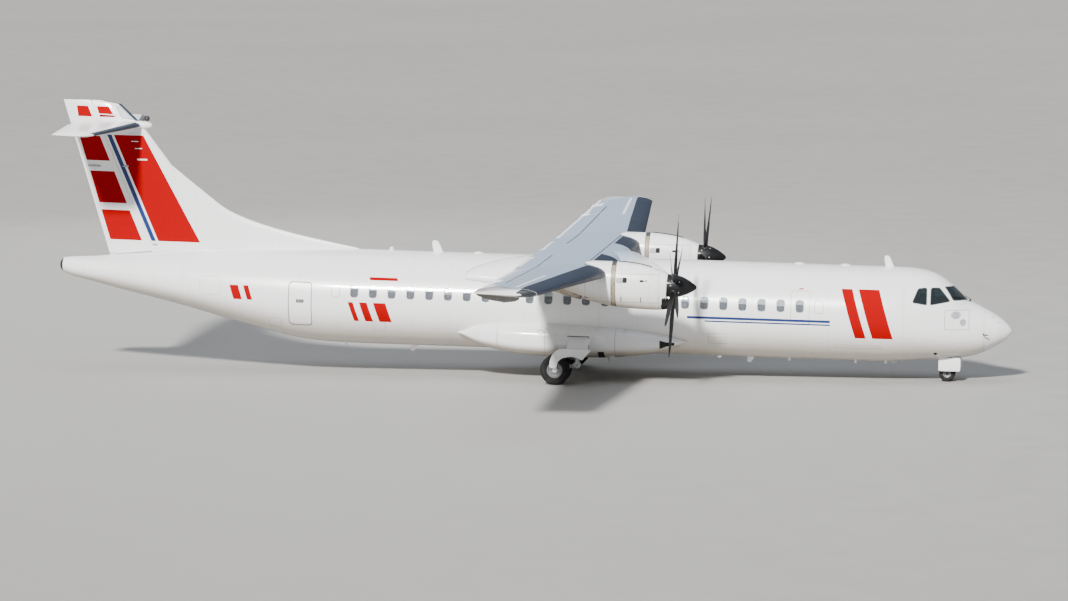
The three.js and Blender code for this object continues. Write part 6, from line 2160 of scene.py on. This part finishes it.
class AIRLINER_OT_fittings(bpy.types.Operator):
    """Adds aerials, probes, static plates, wipers, lamps, drains and outlines of hatches"""

    bl_idname = "airliner.fittings"
    bl_label = "Small Fittings"

    def execute(self, context):
        aerials = [blade_antenna((10.02, 10.26), 3.37, 0.33, 0.1), blade_antenna((-2.8, -2.52), 3.38,
            0.33, 0.1), blade_antenna((-3.4, -3.2), 0.745, -0.2, 0.06),
            blade_antenna((6.2, 6.4), 0.745, -0.18, 0.06)]
        bumps = [turned([(0.16, -0.02), (0.15, 0.02), (0.1, 0.045), (0.0, 0.06)], (x, 0, 3.385),
            (0, 0, 1), 32) for x in (7.6, 8.9, -1.5)]
        add_piece("aerials", [*aerials, *bumps], "plain_paint", smooth=50)
        beacon = turned([(0.07, -0.01), (0.07, 0.02), (0.055, 0.07), (0.03, 0.1), (0.0, 0.11)],
            (-4.0, 0, 3.395), (0, 0, 1), 32)
        lower = turned([(0.07, -0.01), (0.07, 0.02), (0.055, 0.06), (0.0, 0.09)], (5.4, 0, 0.735),
            (0, 0, -1), 32)
        add_piece("beacons", [beacon, lower], "clear_lens", smooth=60)

        discs, rings, probes, seams, darks = [], [], [], [], []
        for side in (1, -1):
            surface = hull_side(side)
            rings.append(ribbon(plate((11.76, 12.42), (1.79, 2.32), 0.05), surface, 0.012))
            discs.append(patch(disc((12.06, 2.19), 0.135, 0.74), surface, 0.003, 0.006, 0.05))
            discs.append(patch(disc((12.26, 1.99), 0.085, 1.15), surface, 0.003, 0.006, 0.05))
            discs.append(patch(plate((11.62, 12.12), (0.975, 1.035), 0.02), surface, 0.003, 0.006))
            rings.append(ribbon([(13.03, 2.13), (13.1, 2.08)], surface, 0.012, closed=False))
            rings.append(ribbon([(13.2, 1.98), (13.27, 1.94)], surface, 0.012, closed=False))
            foot = surface(12.82, 1.66, 0.0)
            probes.append(hose([foot, (foot[0] + 0.01, foot[1] + side * 0.06, foot[2] - 0.01),
                (foot[0] + 0.07, foot[1] + side * 0.08, foot[2] - 0.02),
                (foot[0] + 0.14, foot[1] + side * 0.08, foot[2] - 0.02)], 0.018))
            darks.append(patch(disc((11.51, 1.07), 0.05, 0.8), surface, 0.003, 0.006, 0.05))
            seams.append(ribbon(plate(EXIT_HATCH["x"], EXIT_HATCH["z"], 0.08), surface, 0.009))
            seams.append(ribbon(plate((-9.3, -8.7), (2.1, 2.6), 0.05), surface, 0.006))
            seams.append(ribbon(plate((5.2, 5.7), (1.2, 1.5), 0.04), surface, 0.006))
            for x in (-4.3, -7.3):
                seams.append(ribbon(plate((x, x + 0.36), (1.24, 1.5), 0.03), surface, 0.006))
        seams.append(ribbon(plate((8.7, 10.0), (1.2, 1.28), 0.02), hull_side(-1), 0.006))
        add_piece("static_plates", discs, "plate_grey", slot="gear_paint")
        add_piece("static_plate_frames", rings, "seam_grey")
        add_piece("probes", probes, "dark_metal")
        add_piece("hatch_outlines", seams, "seam_grey")
        add_piece("skin_ports", darks, "shadow_black")

        arms = []
        for side in (1, -1):
            front = hull_front(side)
            pivot = front(0.16, 2.53, 0.02)
            tip = front(0.5, 2.64, 0.022)
            arms.append(hose([pivot, front(0.33, 2.575, 0.04), tip], 0.008))
            blade = [front(y, z, 0.014) for y, z in ((0.28, 2.6), (0.4, 2.63), (0.52, 2.655),
                (0.62, 2.665))]
            arms.append(hose(blade, 0.007))
            arms.append(turned([(0.025, -0.02), (0.025, 0.012), (0.0, 0.016)], pivot, (1, 0, 1), 20))
        add_piece("wipers", arms, "black_rubber")

        drains = []
        for x, y in ((9.26, -0.3), (10.1, -0.25), (7.4, -0.3), (-5.2, -0.3), (-6.9, 0.2)):
            keel = hull_row(x)[1]
            drains.append(lofted([[(x + dx, y + dy, z) for dx, dy in ((0.03, -0.006), (0.03, 0.006),
                (-0.03, 0.006), (-0.03, -0.006))] for z in (keel + 0.06, keel - 0.045)]))
        add_piece("drain_masts", drains, "plain_paint", soft=0.003)
        return {"FINISHED"}


# Livery: plain slanted stripes

def slanted(x, z, lean):
    """A band between two places at its foot, leaning by a shift from foot to head."""
    return [(x[0], z[0]), (x[1], z[0]), (x[1] + lean, z[1]), (x[0] + lean, z[1])]


# Bands as places along, heights and lean, and the body that carries them.
PORT_NOSE_BARS = [((9.5, 9.98), (1.46, 2.5), -0.3), ((9.1, 9.32), (1.46, 2.5), -0.3)]
STARBOARD_NOSE_BARS = [((9.78, 10.35), (1.5, 2.85), -0.42), ((9.3, 9.6), (1.5, 2.85), -0.42)]
REAR_BARS = [((-8.3, -8.05), (2.0, 2.4), -0.13), ((-7.9, -7.75), (2.0, 2.4), -0.13),
    ((-4.1, -3.75), (1.5, 2.04), -0.18), ((-4.5, -4.28), (1.5, 2.04), -0.18),
    ((-4.82, -4.68), (1.5, 2.04), -0.18), ((-4.4, -3.6), (2.66, 2.74), -0.03)]
HULL_STRIPES = [((4.6, 8.6), (1.91, 1.98)), ((5.1, 8.6), (1.83, 1.87))]
FIN_RED = [[(-9.5, 3.45), (-10.72, 3.45), (-12.05, 6.45), (-11.2, 6.45)],
    [(-12.02, 6.95), (-12.46, 6.95), (-12.56, 7.25), (-12.22, 7.25)]]
FIN_NAVY = [(-10.79, 3.45), (-10.92, 3.45), (-12.25, 6.45), (-12.12, 6.45)]
RUDDER_RED = [[(-11.2, 3.45), (-12.14, 3.45), (-12.41, 4.3), (-11.57, 4.3)],
    [(-11.65, 4.5), (-12.47, 4.5), (-12.75, 5.4), (-12.03, 5.4)], [(-12.16, 5.7), (-12.85, 5.7),
    (-13.07, 6.4), (-12.46, 6.4)], [(-12.69, 6.95), (-13.1, 6.95), (-13.15, 7.25), (-12.82, 7.25)]]


class AIRLINER_OT_livery(bpy.types.Operator):
    """Paints slanted bands in red and navy on the fin, the nose and the rear fuselage"""

    bl_idname = "airliner.livery"
    bl_label = "Livery"

    def execute(self, context):
        def film(outline, surface):
            return patch(outline, surface, 0.0016, 0.005)

        red, navy, rudder, cargo = [], [], [], []
        for side in (1, -1):
            hull, fin = hull_side(side), fin_side(side)
            red += [film(slanted(*bar), hull) for bar in REAR_BARS]
            red += [film(outline, fin) for outline in FIN_RED]
            red.append(film(plate((7.7, 7.83), (2.8, 2.83), 0.01), hull))
            navy.append(film(FIN_NAVY, fin))
            navy += [film(plate(*stripe, 0.01), hull) for stripe in HULL_STRIPES]
            rudder += [film(outline, fin) for outline in RUDDER_RED]
        red += [film(slanted(*bar), hull_side(-1)) for bar in STARBOARD_NOSE_BARS]
        cargo += [film(slanted(*bar), hull_side(1)) for bar in PORT_NOSE_BARS]
        for name, parts, body, material in (("red_bands", red, "airframe", "red_livery"),
                ("navy_bands", navy, "airframe", "navy_livery"), ("rudder_bands", rudder, "rudder",
                "red_livery"), ("cargo_door_bands", cargo, "cargo_door", "red_livery")):
            add_piece(name, parts, material, body=body, slot="white_paint")
        return {"FINISHED"}


# Stage

CAMERA_TARGET = Vector((0.0965, 0.0, 2.0959))
CAMERA_AZIMUTH = radians(7.787)
CAMERA_ELEVATION = radians(6.379)
CAMERA_ROLL = radians(-0.072)
CAMERA_DISTANCE = 146.909
CAMERA_LENS = 175.08
FLOOR_RADIUS = 1500.0
FLOOR_Z = -0.004
FLOOR_SIDES = 96


def add_area_light(name, location, target, energy, size, colour=(1.0, 1.0, 1.0)):
    light = bpy.data.lights.new(name, "AREA")
    light.energy = energy
    light.color = colour
    light.size = size
    lamp = bpy.data.objects.new(name, light)
    lamp.location = location
    lamp.rotation_euler = (Vector(location) - Vector(target)).to_track_quat("Z", "Y").to_euler()
    bpy.context.scene.collection.objects.link(lamp)


class AIRLINER_OT_stage(bpy.types.Operator):
    """Sets the floor, the lights and the camera"""

    bl_idname = "airliner.stage"
    bl_label = "Stage"

    def execute(self, context):
        edge = [(x, y, FLOOR_Z) for x, y in disc((0, 0), FLOOR_RADIUS, sides=FLOOR_SIDES)]
        floor = add_object("studio_floor", (edge, [tuple(range(FLOOR_SIDES))]), Matrix())
        floor.data.materials.append(finishes("floor"))
        world = bpy.data.worlds.new("studio_air")
        world.use_nodes = True
        world.node_tree.nodes["Background"].inputs["Color"].default_value = (0.9, 0.93, 1.0, 1.0)
        world.node_tree.nodes["Background"].inputs["Strength"].default_value = 0.3
        context.scene.world = world
        sun = bpy.data.lights.new("near_sun", "SUN")
        sun.energy = 8.2
        sun.angle = radians(5)
        sun.color = (1.0, 0.97, 0.93)
        lamp = bpy.data.objects.new("near_sun", sun)
        lamp.rotation_euler = Vector((-0.6, -3.65, 2.45)).to_track_quat("Z", "Y").to_euler()
        context.scene.collection.objects.link(lamp)
        add_area_light("front_fill", (14, -46, 22), (0, 0, 3), 600, 24)
        add_area_light("rear_fill", (-20, 40, 20), (0, 0, 3), 3000, 20)
        add_area_light("sky_fill", (0, 0, 45), (0, 0, 0), 9000, 45, (0.85, 0.92, 1.0))

        towards = Vector((cos(CAMERA_ELEVATION) * sin(CAMERA_AZIMUTH),
            -cos(CAMERA_ELEVATION) * cos(CAMERA_AZIMUTH), sin(CAMERA_ELEVATION)))
        lens = bpy.data.cameras.new("photo_camera")
        lens.lens = CAMERA_LENS
        lens.sensor_width = 36.0
        lens.clip_start = 1.0
        lens.clip_end = 4000.0
        camera = bpy.data.objects.new("photo_camera", lens)
        turn = towards.to_track_quat("Z", "Y").to_matrix().to_4x4()
        camera.matrix_world = (Matrix.Translation(CAMERA_TARGET + CAMERA_DISTANCE * towards) @ turn
            @ Matrix.Rotation(CAMERA_ROLL, 4, "Z"))
        context.scene.collection.objects.link(camera)
        context.scene.camera = camera
        return {"FINISHED"}


# Add-on

class AirlinerSizes(bpy.types.PropertyGroup):
    """Sizes that change from one aircraft of the type to another"""

    window_width: FloatProperty(name="Window Width", description="Width of a cabin window",
        default=0.235, min=0.1, max=0.4, subtype="DISTANCE", unit="LENGTH")
    window_height: FloatProperty(name="Window Height", description="Height of a cabin window",
        default=0.345, min=0.1, max=0.5, subtype="DISTANCE", unit="LENGTH")
    door_gap: FloatProperty(name="Door Gap", description="Gap round each door in the fuselage",
        default=0.01, min=0.006, max=0.03, subtype="DISTANCE", unit="LENGTH")


class AirlinerColours(bpy.types.PropertyGroup):
    """Colours of the paint"""

    paint: FloatVectorProperty(name="Paint", description="The paint over most of the aircraft",
        default=(0.87, 0.88, 0.89), size=3, min=0.0, max=1.0, subtype="COLOR")
    # Its blue is partly a painted sky reflection on the faces that look up.
    wing: FloatVectorProperty(name="Wing", description="The paint on top of the wing",
        default=(0.43, 0.55, 0.73), size=3, min=0.0, max=1.0, subtype="COLOR")
    red: FloatVectorProperty(name="Red", description="The first colour of the livery",
        default=(0.32, 0.0, 0.003), size=3, min=0.0, max=1.0, subtype="COLOR")
    navy: FloatVectorProperty(name="Navy", description="The second colour of the livery",
        default=(0.012, 0.03, 0.14), size=3, min=0.0, max=1.0, subtype="COLOR")


PIECE_OPERATORS = (AIRLINER_OT_stage, AIRLINER_OT_fuselage, AIRLINER_OT_windows, AIRLINER_OT_doors,
    AIRLINER_OT_flight_deck, AIRLINER_OT_cabin, AIRLINER_OT_wings, AIRLINER_OT_fairings,
    AIRLINER_OT_nacelles, AIRLINER_OT_propellers, AIRLINER_OT_tail, AIRLINER_OT_main_gear,
    AIRLINER_OT_nose_gear, AIRLINER_OT_fittings, AIRLINER_OT_livery)


class AIRLINER_PT_pieces(bpy.types.Panel):
    """Lists the aircraft's sizes, colours and pieces"""

    bl_idname = "AIRLINER_PT_pieces"
    bl_label = "Turboprop Airliner"
    bl_space_type = "VIEW_3D"
    bl_region_type = "UI"
    bl_category = "Airliner"

    def draw(self, context):
        for group in (context.scene.airliner_sizes, context.scene.airliner_colours):
            column = self.layout.column()
            for name in group.bl_rna.properties.keys():
                if name not in ("rna_type", "name"):
                    column.prop(group, name)
        column = self.layout.column()
        for operator in PIECE_OPERATORS:
            column.operator(operator.bl_idname)


CLASSES = (AirlinerSizes, AirlinerColours, *PIECE_OPERATORS, AIRLINER_PT_pieces)


def register():
    for cls in CLASSES:
        bpy.utils.register_class(cls)
    bpy.types.Scene.airliner_sizes = PointerProperty(type=AirlinerSizes)
    bpy.types.Scene.airliner_colours = PointerProperty(type=AirlinerColours)


def unregister():
    del bpy.types.Scene.airliner_colours
    del bpy.types.Scene.airliner_sizes
    for cls in reversed(CLASSES):
        bpy.utils.unregister_class(cls)


def main():
    register()
    for operator in PIECE_OPERATORS:
        group, name = operator.bl_idname.split(".")
        getattr(getattr(bpy.ops, group), name)()


if __name__ == "__main__":
    main()
